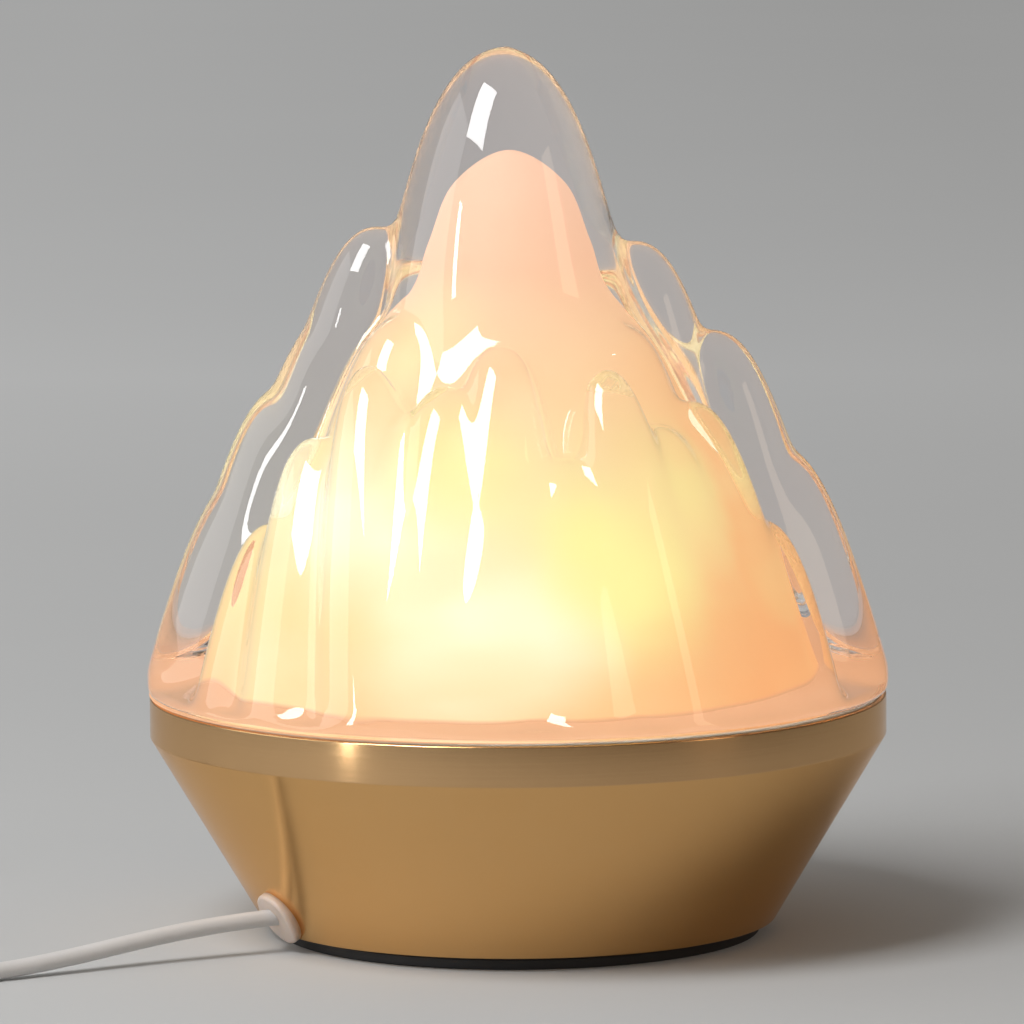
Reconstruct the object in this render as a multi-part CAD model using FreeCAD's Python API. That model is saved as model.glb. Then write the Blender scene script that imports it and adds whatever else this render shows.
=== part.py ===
import FreeCAD
import Part
import math
import os
from FreeCAD import Matrix, Placement, Rotation
from FreeCAD import Vector as V

# Table lamp: a thick clear glass mountain on a spun brass bowl, with a cord, an inline switch and a plug.
# Millimetres. The origin is the middle of the foot on the table, +Z is up and -Y is the front.

# Clearances
FIT = 0.05          # radial clearance of a fixed part in its hole
SLIDE = 0.3         # gap beside a moving part

# Foot and cover below the bowl
RING_INSET = 5.2    # from the bowl's foot in to the black foot ring
RING_W = 11.8       # width of the ring's band
RING_H = 3.2        # its height
PLATE_INSET = 0.4   # from the ring's edge in to the cover plate's
PLATE_T = 1.2       # thickness of the cover plate

# Spun brass bowl
WALL = 1.5          # sheet thickness
FOOT_R = 83.0       # outer radius where the cone starts
RIM_R = 119.0       # outer radius of the vertical band
CONE_H = 60.3       # height of the cone
BAND_H = 12.9       # height of the band
LEDGE_W = 12.0      # width of the turned-in ledge under the glass
FLANGE_W = 29.0     # width of the turned-in flange at the bottom
EDGE_ROUND = 0.5    # rounding of the bowl's visible edges

# Gasket under the glass
GASKET_T = 0.6
GASKET_W = 9.0
GASKET_INSET = 1.6  # from the band's outer face to the gasket

# Glass shade, heights above its foot
SHADE_OVER = 2.2    # how far the round foot stands out over the band
LOBES_DRAWN_FOR = 121.2  # foot radius for which the lobes below were placed
SHADE_ROUND = 3.0   # rounding of the foot's edge
BODY_TOP = 185.0    # height at which the plain cone between the lobes ends
BODY_WIDTH = 1.7    # its width factor
BODY_POWER = 0.78   # how fast it widens downwards
FLARE = 30.0        # how far the cone flares at the foot
FLARE_H = 7.0       # height over which the flare fades
BLEND = 2.6         # softness of the valleys between lobes
CAP_SOFT = 4.0      # roundness of each lobe's top
PEAK_TOP = 208.5    # height of the main peak
PEAK_X = -3.5
PEAK_WIDTH = 7.8
PEAK_POWER = 0.375
LOBE_POWER = 0.3    # how fast a lobe widens below its top
# Lobes in front and at the sides: x, y and height of the top, x and y of the foot, width factor
LOBES = [
    (-45, -2, 151, -74, -4, 6.0),
    (-37, -27, 124, -60, -50, 5.8),
    (-60, -6, 119, -82, -8, 6.0),
    (-75, -6, 99, -93, -8, 5.8),
    (-89, -4, 66, -101, -5, 6.0),
    (-78, -38, 60, -86, -54, 5.4),
    (-64, -44, 88, -68, -74, 5.4),
    (-46, -52, 112, -43, -91, 5.2),
    (-23, -60, 106, -29, -96, 5.2),
    (-5, -56, 119, -6, -92, 5.7),
    (-4, -78, 70, -17, -98, 5.7),
    (14, -72, 84, 22, -98, 5.2),
    (27, -60, 112, 47, -88, 5.2),
    (45, -55, 92, 62, -76, 5.2),
    (64, -4, 117, 87, -8, 6.0),
    (62, -40, 96, 76, -64, 5.4),
    (85, -4, 78, 100, -5, 6.0),
    (78, -40, 60, 86, -54, 5.4),
    (39, -4, 146, 64, -8, 6.0),
    (34, -30, 121, 50, -58, 5.8),
]
# Lobes at the back
BACK_LOBES = [
    (-20, 36, 132, -30, 66, 5.6),
    (16, 38, 126, 26, 68, 5.6),
    (-36, 50, 104, -46, 82, 5.4),
    (-2, 58, 112, -2, 92, 5.6),
    (36, 52, 100, 46, 82, 5.4),
    (-20, 74, 82, -24, 98, 5.4),
    (20, 74, 78, 26, 98, 5.4),
    (-46, 64, 66, -54, 86, 5.4),
    (48, 64, 62, 56, 84, 5.4),
    (0, 88, 56, 0, 102, 5.2),
]
RAY_X = -2.0        # the sections fan out from this point on the foot's plane
SECTIONS = 36       # sections from foot to peak, one more follows the rounding of the foot
SECTION_POINTS = 120

# Hollow inside the glass: radius and height of the points on its outline, and its own centre
CAVITY = [(87.5, 0), (81.5, 22), (67, 62), (47, 102), (23, 142), (15, 162)]
CAVITY_TOP = 173.0
CAVITY_X = -2.0

# Bridge across the bowl's bottom opening
BRIDGE_TOP = 20.0   # height of its raised middle above the table
BRIDGE_T = 1.5
BRIDGE_W = 20.0
BRIDGE_LAP = 20.0   # how far it reaches over the flange at each end
BRIDGE_FOOT = 17.0  # length of each flat end
BRIDGE_SLOPE = 10.0  # plan length of each sloping leg
RIVET_IN = 13.0     # from the flange's inner edge to the rivets
RIVET_SHANK = 1.6
RIVET_HEAD = 3.2
RIVET_HEAD_H = 1.4

# Cover screws
SCREW_IN = 6.5      # from the flange's inner edge to the screws
SCREW_ANGLES = (30.0, 150.0, 270.0)
SCREW_R = 2.0
SCREW_HEAD_R = 3.6
SCREW_HEAD_H = 2.2
NUT_AF = 7.0        # across flats
NUT_H = 3.2
SCREW_OVER = 0.6    # screw end above its nut

# Threaded tube, nut and washer under the lampholder
NIPPLE_R = 5.0
NIPPLE_BORE = 3.8
NIPPLE_UNDER = 6.0  # below the bridge's top face
NIPPLE_OVER = 6.0   # into the lampholder
JAM_AF = 14.0
JAM_H = 2.8
WASHER_T = 0.8
WASHER_R = 9.0
WASHER_TEETH = 10
TOOTH_W = 1.2
TOOTH_DEEP = 1.3

# E27 lampholder
HOLDER_CAP_H = 20.0
HOLDER_CAP_FOOT_R = 15.0
HOLDER_CAP_R = 19.8
HOLDER_WALL = 2.2
SLEEVE_OVER = 0.2   # how far the sleeve stands out over the cap
SLEEVE_WALL = 1.6
SLEEVE_ABOVE = 4.0  # from the screw shell's top to the sleeve's
MOUTH_GAP = 1.0     # from the screw shell to the edge of the sleeve's mouth
BLOCK_H = 8.0
BLOCK_GAP = 0.2     # between the block and the sleeve
SHELL_GAP = 0.1     # between the bulb's cap and the screw shell
SHELL_T = 0.5
SHELL_H = 24.0
CONTACT_H = 4.0     # height of the middle contact above the block
CONTACT_W = 6.0
CONTACT_T = 0.5
CONTACT_REACH = 7.0
TERMINAL_OUT = 9.0  # distance of each terminal screw from the axis
TERMINAL_R = 1.5
TERMINAL_HEAD_R = 3.0
TERMINAL_HEAD_H = 2.4
TERMINAL_LONG = 5.0

# Bulb, heights above its contact tip
BULB_R = 30.0
BULB_CENTRE = 74.0
BULB_WALL = 0.8
NECK_IN = 7.0       # how far the neck reaches into the cap
NECK_ABOVE = 1.0    # straight stretch of the neck above the cap
SHOULDER_DEG = 40.0
CAP_R = 13.2
CAP_ROOT_R = 12.6
CAP_T = 0.4
CAP_LOW = 3.6
CAP_HIGH = 25.0
CAP_TURNS = 5
CAP_THREAD_LOW = 7.0
CAP_PITCH = 3.0
INSULATOR_LOW = 1.4
TIP_R = 4.0
STEM_R = 4.0
STEM_TOP = 48.0
LEAD_R = 0.4
LEAD_OUT = 2.0
LEAD_TOP = 76.0
LEAD_SPREAD = 14.0
FILAMENT_R = 0.5

# Cord and its grommet
CORD_D = 5.5
GROMMET_DEG = 209.5  # direction of the cord's exit from the middle, from +X
GROMMET_Z = 11.8     # height of the exit on the cone
GROMMET_WALL = 3.25  # from the cord to the outside of the grommet's neck
GROMMET_FLANGE = 3.3  # width of its outer flange
GROMMET_T = 2.6
GROMMET_ROUND = 1.1
GROMMET_SINK = 0.8   # how far the flange's edge follows the cone's curve
GROMMET_LIP = 1.4    # width of its inner lip
GROMMET_LIP_T = 1.6
GROMMET_LIP_GAP = 0.4
CORD_HEADING = 204.2  # plan direction of the cord as it leaves
CORD_DROP = -0.036    # its slope there
SHEATH_PAST = 7.0     # how far the sheath reaches past the clamp
INNER_BEND = 28.0     # radius of the sheathed cord's bends inside the bowl
CORE_D = 2.0
CORE_APART = 1.4      # half the distance between the two cores
CORE_BEND = 4.5
CLAMP_IN = 7.0        # from the flange's inner edge to the clamp
CLAMP_LONG = 8.0
CLAMP_T = 1.5
CLAMP_SCREW_GAP = 4.3  # from the saddle's arch to each screw's axis
CLAMP_EDGE = 3.4      # from there to the ear's end
CLAMP_SCREW_R = 1.5
CLAMP_HEAD_R = 2.7
CLAMP_HEAD_H = 1.8

# Inline switch
SWITCH_X = -224.7
SWITCH_Y = -62.0    # its near end
SWITCH_LONG = 58.0
SWITCH_WIDE = 26.0
SWITCH_LOW = 6.0    # height of the lower shell, and of the cord's axis in it
SWITCH_HIGH = 10.0  # height of the upper shell
SWITCH_WALL = 1.6
SWITCH_CORNER = 7.0
SWITCH_ROUND = 2.0
CORD_IN = 4.0       # how far the cord reaches into the switch
ROCKER_LONG = 17.0
ROCKER_WIDE = 10.0
ROCKER_DEG = 8.0    # tilt each way
ROCKER_AXIS_DOWN = 3.5  # pivot below the upper shell's top
ROCKER_RISE = 2.2
ROCKER_SKIRT = 3.0
PIN_R = 1.0
SWITCH_SCREW_OUT = 21.5
SWITCH_SCREW_R = 1.2
SWITCH_SCREW_HEAD_R = 2.3
SWITCH_SCREW_HEAD_H = 1.5
STRIP_LONG = 14.0
STRIP_WIDE = 3.5
STRIP_T = 0.6
STRIP_POST = 3.6

# Coil of the cord's put-away length
COIL_X = -267.7
COIL_Y = 38.0
COIL_R = 43.0       # radius of the first half turn
COIL_GAP = 0.55     # between turns, and between layers
COIL_HALVES = 7     # half turns in the lower layer
CORD_LIFT = 0.05    # from the table to the lower layer

# Plug
PLUG_HEADING = 78.0
PLUG_LONG = 35.0
PLUG_WIDE = 35.0
PLUG_THICK = 13.7
PLUG_NOSE = 26.0
PLUG_ROUND = 2.5
RELIEF_LONG = 21.0
RELIEF_R = 3.7
RELIEF_FOOT_R = 4.8
RELIEF_RIBS = 4
PIN_APART = 19.0
PLUG_PIN_R = 2.0
PLUG_PIN_LONG = 19.0
PLUG_PIN_TIP = 0.7

# Heights that follow
BOWL_Z = RING_H + PLATE_T
RING_R = FOOT_R - RING_INSET
PLATE_R = RING_R - PLATE_INSET
CREASE_Z = BOWL_Z + CONE_H
RIM_Z = CREASE_Z + BAND_H
SEAT_Z = RIM_Z + GASKET_T
SHADE_R = RIM_R + SHADE_OVER
SPREAD = SHADE_R / LOBES_DRAWN_FOR
FLANGE_TOP = BOWL_Z + WALL
FLANGE_R = FOOT_R - FLANGE_W
SCREW_RING = FLANGE_R + SCREW_IN
RIVET_R = FLANGE_R + RIVET_IN
BRIDGE_HALF = FLANGE_R + BRIDGE_LAP
CLAMP_AT = FLANGE_R + CLAMP_IN
SHEATH_END = CLAMP_AT - CLAMP_LONG / 2 - SHEATH_PAST
LEDGE_R = RIM_R - LEDGE_W
SLOPE = (RIM_R - FOOT_R) / CONE_H
LEAN = math.atan(SLOPE)
BRIDGE_Z = BRIDGE_TOP - BRIDGE_T
HOLDER_Z = BRIDGE_TOP + WASHER_T
BLOCK_Z = HOLDER_Z + HOLDER_CAP_H
SOCKET_Z = BLOCK_Z + BLOCK_H
BULB_Z = SOCKET_Z + CONTACT_H
SHELL_R = CAP_R + SHELL_GAP
SLEEVE_H = BLOCK_H + SHELL_H + SLEEVE_ABOVE
SLEEVE_R = HOLDER_CAP_R + SLEEVE_OVER
SLEEVE_MOUTH_R = SHELL_R + SHELL_T + MOUTH_GAP
BLOCK_R = SLEEVE_R - SLEEVE_WALL - BLOCK_GAP
NECK_R = CAP_ROOT_R - CAP_T - FIT
NECK_Z = CAP_HIGH - NECK_IN
NECK_STRAIGHT = CAP_HIGH + NECK_ABOVE
CORD_R = CORD_D / 2
CORD_BORE = CORD_R + FIT
GROMMET_NECK_R = CORD_R + GROMMET_WALL
GROMMET_R = GROMMET_NECK_R + GROMMET_FLANGE
CLAMP_SCREW_OUT = CORD_BORE + CLAMP_T + CLAMP_SCREW_GAP
CLAMP_EAR = CLAMP_SCREW_OUT + CLAMP_EDGE
COIL_PITCH = CORD_D + COIL_GAP
COIL_Z = CORD_R + CORD_LIFT
CLAMP_CORD_Z = FLANGE_TOP + CORD_R + FIT

Z = V(0, 0, 1)
GROMMET_RAD = math.radians(GROMMET_DEG)


def cone_r(z):
    """Outer radius of the bowl's cone at a height."""
    return FOOT_R + SLOPE * (z - BOWL_Z)


def polar(radius, degrees, z=0.0):
    a = math.radians(degrees)
    return V(radius * math.cos(a), radius * math.sin(a), z)


def turned(points):
    """A solid of revolution about Z from radius and height pairs."""
    wire = Part.makePolygon([V(r, 0, z) for r, z in points + points[:1]])
    return Part.Face(wire).revolve(V(0, 0, 0), Z, 360)


def tube(r_in, r_out, z_low, height):
    outer = Part.makeCylinder(r_out, height, V(0, 0, z_low))
    return outer.cut(Part.makeCylinder(r_in, height, V(0, 0, z_low)))


def hexagon(across, height, place):
    corner = across / math.sqrt(3)
    points = [place + polar(corner, 60 * k) for k in range(7)]
    return Part.Face(Part.makePolygon(points)).extrude(V(0, 0, height))


def framed(shape, origin, x_axis, z_axis):
    """Moves a shape from its own frame to one with the given origin, X direction and Z direction."""
    z_dir = V(z_axis).normalize()
    y_dir = z_dir.cross(V(x_axis)).normalize()
    x_dir = y_dir.cross(z_dir)
    m = Matrix(
        x_dir.x, y_dir.x, z_dir.x, origin.x,
        x_dir.y, y_dir.y, z_dir.y, origin.y,
        x_dir.z, y_dir.z, z_dir.z, origin.z,
        0, 0, 0, 1,
    )
    moved = shape.copy()
    moved.Placement = Placement(m).multiply(shape.Placement)
    return moved


def circles_at(shape, radius, z):
    """The round edges of a turned shape with a given radius and height."""
    found = []
    for edge in shape.Edges:
        curve = edge.Curve
        if isinstance(curve, Part.Circle) and abs(curve.Radius - radius) < 1e-4:
            if abs(curve.Center.z - z) < 1e-4:
                found.append(edge)
    return found


def cord_path(points, bends=None):
    """Straight runs joined by tangent arcs, each as large as its two runs allow."""
    edges = []
    radii = []
    start = points[0]
    for k in range(1, len(points) - 1):
        before = points[k] - points[k - 1]
        after = points[k + 1] - points[k]
        turn = before.getAngle(after)
        share = 0.45 * min(before.Length, after.Length)
        radius = share / math.tan(turn / 2)
        if bends:
            radius = bends[k - 1]
            share = radius * math.tan(turn / 2)
        a = V(before).normalize()
        b = V(after).normalize()
        arc_in = points[k] - a * share
        arc_out = points[k] + b * share
        inward = (b - a).normalize()
        centre = points[k] + inward * (radius / math.cos(turn / 2))
        middle = centre - inward * radius
        edges.append(Part.LineSegment(start, arc_in).toShape())
        edges.append(Part.Arc(arc_in, middle, arc_out).toShape())
        radii.append(radius)
        start = arc_out
    edges.append(Part.LineSegment(start, points[-1]).toShape())
    return Part.Wire(edges), radii


def sweep(wire, diameter):
    """A round section along a wire."""
    first = wire.Edges[0]
    at = first.valueAt(first.FirstParameter)
    along = first.tangentAt(first.FirstParameter)
    section = Part.Wire(Part.makeCircle(diameter / 2, at, along))
    shell = Part.BRepOffsetAPI.MakePipeShell(wire)
    shell.add(section)
    shell.build()
    shell.makeSolid()
    return shell.shape()


def cord(name, points, diameter=CORD_D, bends=None):
    """A tube along a route, with its length and bends printed."""
    wire, radii = cord_path(points, bends)
    solid = sweep(wire, diameter)
    due = math.pi * diameter * diameter / 4 * wire.Length
    bend_text = " ".join(f"{r:.1f}" for r in radii)
    print(f"{name}: length {wire.Length:.1f}, volume ratio {solid.Volume / due:.5f}, radii {bend_text}")
    return solid


def lobe_value(lobe, x, y, z):
    """Distance outside one leaning lobe, whose axis runs from its top to its foot."""
    top_x, top_y, top, foot_x, foot_y, width = lobe
    depth = max(top - z, 0.0)
    share = depth / top
    dx = x - top_x - (foot_x - top_x) * share
    dy = y - top_y - (foot_y - top_y) * share
    radius = width * (depth * depth / (depth + CAP_SOFT)) ** LOBE_POWER
    return math.hypot(dx, dy) - radius + 1.5 * max(z - top, 0.0)


def lobe_field(x, y, z):
    """Below zero inside the glass's outer skin, above zero outside, about in millimetres."""
    x = x / SPREAD
    y = y / SPREAD
    depth = max(PEAK_TOP - z, 0.0)
    peak = PEAK_WIDTH * (depth * depth / (depth + CAP_SOFT)) ** PEAK_POWER
    values = [math.hypot(x - PEAK_X, y) - peak + 1.5 * max(z - PEAK_TOP, 0.0)]
    depth = max(BODY_TOP - z, 0.0)
    body = BODY_WIDTH * depth ** BODY_POWER + FLARE * math.exp(-z / FLARE_H)
    values.append(math.hypot(x, y) - body + 1.2 * max(z - BODY_TOP, 0.0))
    values += [lobe_value(lobe, x, y, z) for lobe in LOBES + BACK_LOBES]
    total = sum(math.exp(-max(min(value / BLEND, 60.0), -60.0)) for value in values)
    return -BLEND * math.log(total)


def foot_limit(z):
    """Largest radius of the glass at a height, with the foot's rounded edge."""
    if z >= SHADE_ROUND:
        return SHADE_R
    low = SHADE_ROUND - z
    return SHADE_R - SHADE_ROUND + math.sqrt(SHADE_ROUND ** 2 - low * low)


def skin_point(around, up):
    """The outer skin's point in a direction from the fan's centre, by halving."""
    dx = math.cos(up) * math.cos(around)
    dy = math.cos(up) * math.sin(around)
    dz = math.sin(up)
    near = 0.0
    far = 2.0 * PEAK_TOP
    for _ in range(34):
        mid = (near + far) / 2
        x = RAY_X + dx * mid
        y = dy * mid
        z = dz * mid
        inside = lobe_field(x, y, z) < 0 and math.hypot(x, y) < foot_limit(z)
        if inside:
            near = mid
        else:
            far = mid
    return V(RAY_X + dx * near, dy * near, dz * near)


def skin_section(up):
    """A closed smooth curve around the skin at one elevation."""
    step = 2 * math.pi / SECTION_POINTS
    points = [skin_point(k * step, up) for k in range(SECTION_POINTS)]
    curve = Part.BSplineCurve()
    steps = [float(k) for k in range(SECTION_POINTS + 1)]
    curve.interpolate(Points=points, PeriodicFlag=True, Parameters=steps)
    return Part.Wire(curve.toShape())


def cavity():
    """The hollow: an outline through its points, turned about its own axis."""
    points = [V(r * SPREAD, 0, z) for r, z in CAVITY] + [V(0, 0, CAVITY_TOP)]
    curve = Part.BSplineCurve()
    first = points[1] - points[0]
    curve.interpolate(Points=points, InitialTangent=first.normalize(), FinalTangent=V(-1, 0, 0))
    side = curve.toShape()
    floor = Part.makeLine(V(0, 0, 0), points[0])
    axis = Part.makeLine(points[-1], V(0, 0, 0))
    face = Part.Face(Part.Wire([floor, side, axis]))
    solid = face.revolve(V(0, 0, 0), Z, 360)
    solid.translate(V(CAVITY_X, 0, 0))
    return solid


def glass_shade():
    top_up = math.pi / 2
    rises = [top_up * k / SECTIONS for k in range(SECTIONS)]
    rises.insert(1, math.atan(SHADE_ROUND / SHADE_R))
    wires = [skin_section(up) for up in rises]
    peak = Part.Vertex(skin_point(0.0, top_up))
    skin = Part.makeLoft(wires + [peak], True, False)
    glass = skin.cut(cavity())
    glass.translate(V(0, 0, SEAT_Z))
    return glass


def rim_gasket():
    outer = RIM_R - GASKET_INSET
    return tube(outer - GASKET_W, outer, RIM_Z, GASKET_T)


def bowl_shell():
    skew = WALL * math.sqrt(1 + SLOPE * SLOPE)
    inner_band = RIM_R - WALL
    inner_crease = BOWL_Z + (inner_band - FOOT_R + skew) / SLOPE
    inner_foot = FOOT_R + SLOPE * WALL - skew
    shell = turned([
        (FLANGE_R, BOWL_Z),
        (FOOT_R, BOWL_Z),
        (RIM_R, CREASE_Z),
        (RIM_R, RIM_Z),
        (LEDGE_R, RIM_Z),
        (LEDGE_R, RIM_Z - WALL),
        (inner_band, RIM_Z - WALL),
        (inner_band, inner_crease),
        (inner_foot, FLANGE_TOP),
        (FLANGE_R, FLANGE_TOP),
    ])
    edges = circles_at(shell, RIM_R, RIM_Z) + circles_at(shell, RIM_R, CREASE_Z)
    edges += circles_at(shell, FOOT_R, BOWL_Z)
    return shell.makeFillet(EDGE_ROUND, edges)


def grommet_frame():
    """Middle of the cord's exit on the cone, and the cone's outward normal there."""
    centre = polar(cone_r(GROMMET_Z), GROMMET_DEG, GROMMET_Z)
    flat = math.cos(LEAN)
    normal = V(flat * math.cos(GROMMET_RAD), flat * math.sin(GROMMET_RAD), -math.sin(LEAN))
    return centre, normal


def cord_direction():
    return V(polar(1.0, CORD_HEADING, CORD_DROP)).normalize()


def brass_bowl():
    bowl = bowl_shell()
    centre, normal = grommet_frame()
    deep = 4 * WALL
    hole = Part.makeCylinder(GROMMET_NECK_R + FIT, 2 * deep, centre - normal * deep, normal)
    bowl = bowl.cut(hole)
    for angle in SCREW_ANGLES:
        bowl = bowl.cut(Part.makeCylinder(SCREW_R + FIT, WALL, polar(SCREW_RING, angle, BOWL_Z)))
    for side in (-1, 1):
        at = V(side * RIVET_R, 0, BOWL_Z)
        bowl = bowl.cut(Part.makeCylinder(RIVET_SHANK + FIT, WALL, at))
    for at in clamp_screw_places():
        bowl = bowl.cut(Part.makeCylinder(CLAMP_SCREW_R + FIT, WALL, V(at.x, at.y, BOWL_Z)))
    return bowl


def foot_ring():
    ring = tube(RING_R - RING_W, RING_R, 0, RING_H)
    edge = circles_at(ring, RING_R, 0)
    return ring.makeFillet(EDGE_ROUND, edge)


def bottom_plate():
    plate = Part.makeCylinder(PLATE_R, PLATE_T, V(0, 0, RING_H))
    for angle in SCREW_ANGLES:
        plate = plate.cut(Part.makeCylinder(SCREW_R + FIT, PLATE_T, polar(SCREW_RING, angle, RING_H)))
    return plate


def cross_slot(half_long, half_wide, depth, centre, up):
    """A cross recess cut into a screw's head, as a tool."""
    a = Part.makeBox(2 * half_long, 2 * half_wide, depth, V(-half_long, -half_wide, -depth))
    b = Part.makeBox(2 * half_wide, 2 * half_long, depth, V(-half_wide, -half_long, -depth))
    return framed(a.fuse(b), centre, V(1, 0, 0), up)


def screw(head_r, head_h, shank_r, shank_long, seat, up):
    """A pan-head screw whose head rests on seat and stands along up."""
    head = Part.makeCylinder(head_r, head_h, seat, up)
    top = [e for e in head.Edges if isinstance(e.Curve, Part.Circle)]
    top = [e for e in top if (e.Curve.Center - seat).Length > head_h / 2]
    head = head.makeFillet(0.35 * head_h, top)
    head = head.cut(cross_slot(0.55 * head_r, 0.12 * head_r, 0.5 * head_h, seat + up * head_h, up))
    shank = Part.makeCylinder(shank_r, shank_long, seat, up * -1)
    return head.fuse(shank).removeSplitter()


def bottom_screws():
    long = PLATE_T + WALL + NUT_H + SCREW_OVER
    seats = [polar(SCREW_RING, angle, RING_H) for angle in SCREW_ANGLES]
    return [screw(SCREW_HEAD_R, SCREW_HEAD_H, SCREW_R, long, s, V(0, 0, -1)) for s in seats]


def flange_nuts():
    nuts = []
    for angle in SCREW_ANGLES:
        at = polar(SCREW_RING, angle, FLANGE_TOP)
        nut = hexagon(NUT_AF, NUT_H, at)
        nuts.append(nut.cut(Part.makeCylinder(SCREW_R + FIT, NUT_H, at)))
    return nuts


def holder_bridge():
    foot_in = BRIDGE_HALF - BRIDGE_FOOT
    knee = foot_in - BRIDGE_SLOPE
    lower = [
        (-BRIDGE_HALF, FLANGE_TOP), (-foot_in, FLANGE_TOP), (-knee, BRIDGE_Z),
        (knee, BRIDGE_Z), (foot_in, FLANGE_TOP), (BRIDGE_HALF, FLANGE_TOP),
    ]
    rise = BRIDGE_Z - FLANGE_TOP
    shift = BRIDGE_T * (math.hypot(rise, BRIDGE_SLOPE) - BRIDGE_SLOPE) / rise
    upper = [
        (BRIDGE_HALF, FLANGE_TOP + BRIDGE_T), (foot_in + shift, FLANGE_TOP + BRIDGE_T),
        (knee + shift, BRIDGE_TOP), (-knee - shift, BRIDGE_TOP),
        (-foot_in - shift, FLANGE_TOP + BRIDGE_T), (-BRIDGE_HALF, FLANGE_TOP + BRIDGE_T),
    ]
    points = [V(x, -BRIDGE_W / 2, z) for x, z in lower + upper + lower[:1]]
    strap = Part.Face(Part.makePolygon(points)).extrude(V(0, BRIDGE_W, 0))
    strap = strap.cut(Part.makeCylinder(NIPPLE_R + FIT, 2 * BRIDGE_T, V(0, 0, BRIDGE_Z - BRIDGE_T)))
    for side in (-1, 1):
        at = V(side * RIVET_R, 0, FLANGE_TOP)
        strap = strap.cut(Part.makeCylinder(RIVET_SHANK + FIT, BRIDGE_T, at))
    return strap


def bridge_rivets():
    rivets = []
    head_z = FLANGE_TOP + BRIDGE_T
    for side in (-1, 1):
        at = V(side * RIVET_R, 0, BOWL_Z)
        shank = Part.makeCylinder(RIVET_SHANK, head_z - BOWL_Z, at)
        head = Part.makeCylinder(RIVET_HEAD, RIVET_HEAD_H, V(at.x, 0, head_z))
        head = head.makeFillet(0.7 * RIVET_HEAD_H, circles_at(head, RIVET_HEAD, head_z + RIVET_HEAD_H))
        rivets.append(head.fuse(shank).removeSplitter())
    return rivets


def holder_nipple():
    low = BRIDGE_TOP - NIPPLE_UNDER
    return tube(NIPPLE_BORE, NIPPLE_R, low, HOLDER_Z + NIPPLE_OVER - low)


def nipple_nut():
    at = V(0, 0, BRIDGE_Z - JAM_H)
    return hexagon(JAM_AF, JAM_H, at).cut(Part.makeCylinder(NIPPLE_R + FIT, JAM_H, at))


def lock_washer():
    ring = tube(NIPPLE_R + FIT, WASHER_R, BRIDGE_TOP, WASHER_T)
    for k in range(WASHER_TEETH):
        corner = V(WASHER_R - TOOTH_DEEP, -TOOTH_W / 2, BRIDGE_TOP)
        notch = Part.makeBox(TOOTH_DEEP, TOOTH_W, WASHER_T, corner)
        notch.rotate(V(0, 0, 0), Z, k * 360 / WASHER_TEETH)
        ring = ring.cut(notch)
    return ring


def holder_cap():
    bore = NIPPLE_R + FIT
    inner = HOLDER_CAP_R - HOLDER_WALL
    foot_in = HOLDER_CAP_FOOT_R - HOLDER_WALL
    mid = HOLDER_Z + HOLDER_CAP_H / 2
    return turned([
        (bore, HOLDER_Z),
        (HOLDER_CAP_FOOT_R, HOLDER_Z),
        (HOLDER_CAP_R, mid),
        (HOLDER_CAP_R, BLOCK_Z),
        (inner, BLOCK_Z),
        (inner, mid),
        (foot_in, HOLDER_Z + HOLDER_WALL),
        (bore, HOLDER_Z + HOLDER_WALL),
    ])


def holder_sleeve():
    inner = SLEEVE_R - SLEEVE_WALL
    top = BLOCK_Z + SLEEVE_H
    sleeve = turned([
        (inner, BLOCK_Z),
        (SLEEVE_R, BLOCK_Z),
        (SLEEVE_R, top),
        (SLEEVE_MOUTH_R, top),
        (SLEEVE_MOUTH_R, top - SLEEVE_WALL),
        (inner, top - SLEEVE_WALL),
    ])
    return sleeve.makeFillet(EDGE_ROUND, circles_at(sleeve, SLEEVE_R, top))


def core_side():
    """Direction across the cord, in which its two cores lie beside each other."""
    return polar(1.0, GROMMET_DEG + 90)


def contact_block():
    block = Part.makeCylinder(BLOCK_R, BLOCK_H, V(0, 0, BLOCK_Z))
    for side in (-1, 1):
        at = core_side() * (side * TERMINAL_OUT) + V(0, 0, BLOCK_Z)
        block = block.cut(Part.makeCylinder(TERMINAL_R + FIT, TERMINAL_LONG, at))
    return block


def centre_contact():
    """A bent strip: flat on the block, rising to the bulb's tip."""
    reach = CONTACT_REACH
    points = [
        (-reach, 0), (reach, 0), (reach, CONTACT_T), (-reach / 2, CONTACT_T),
        (-1, CONTACT_H - CONTACT_T), (3, CONTACT_H - CONTACT_T), (3, CONTACT_H),
        (-1.4, CONTACT_H), (-reach / 2 - 0.5, CONTACT_T + 0.4), (-reach, CONTACT_T),
    ]
    outline = [V(x, -CONTACT_W / 2, SOCKET_Z + z) for x, z in points + points[:1]]
    return Part.Face(Part.makePolygon(outline)).extrude(V(0, CONTACT_W, 0))


def side_contact():
    """A curved strip on the outside of the screw shell."""
    inner = SHELL_R + SHELL_T
    outer = inner + SHELL_T
    half = SHELL_H / 2
    top = SOCKET_Z + half
    points = [V(inner, 0, SOCKET_Z), V(outer, 0, SOCKET_Z), V(outer, 0, top), V(inner, 0, top)]
    face = Part.Face(Part.makePolygon(points + points[:1]))
    strip = face.revolve(V(0, 0, 0), Z, 28)
    strip.rotate(V(0, 0, 0), Z, 76)
    return strip


def screw_shell():
    return tube(SHELL_R, SHELL_R + SHELL_T, SOCKET_Z, SHELL_H)


def terminal_screws():
    screws = []
    for side in (-1, 1):
        seat = core_side() * (side * TERMINAL_OUT) + V(0, 0, BLOCK_Z)
        screws.append(screw(TERMINAL_HEAD_R, TERMINAL_HEAD_H, TERMINAL_R, TERMINAL_LONG, seat, V(0, 0, -1)))
    return screws


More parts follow.
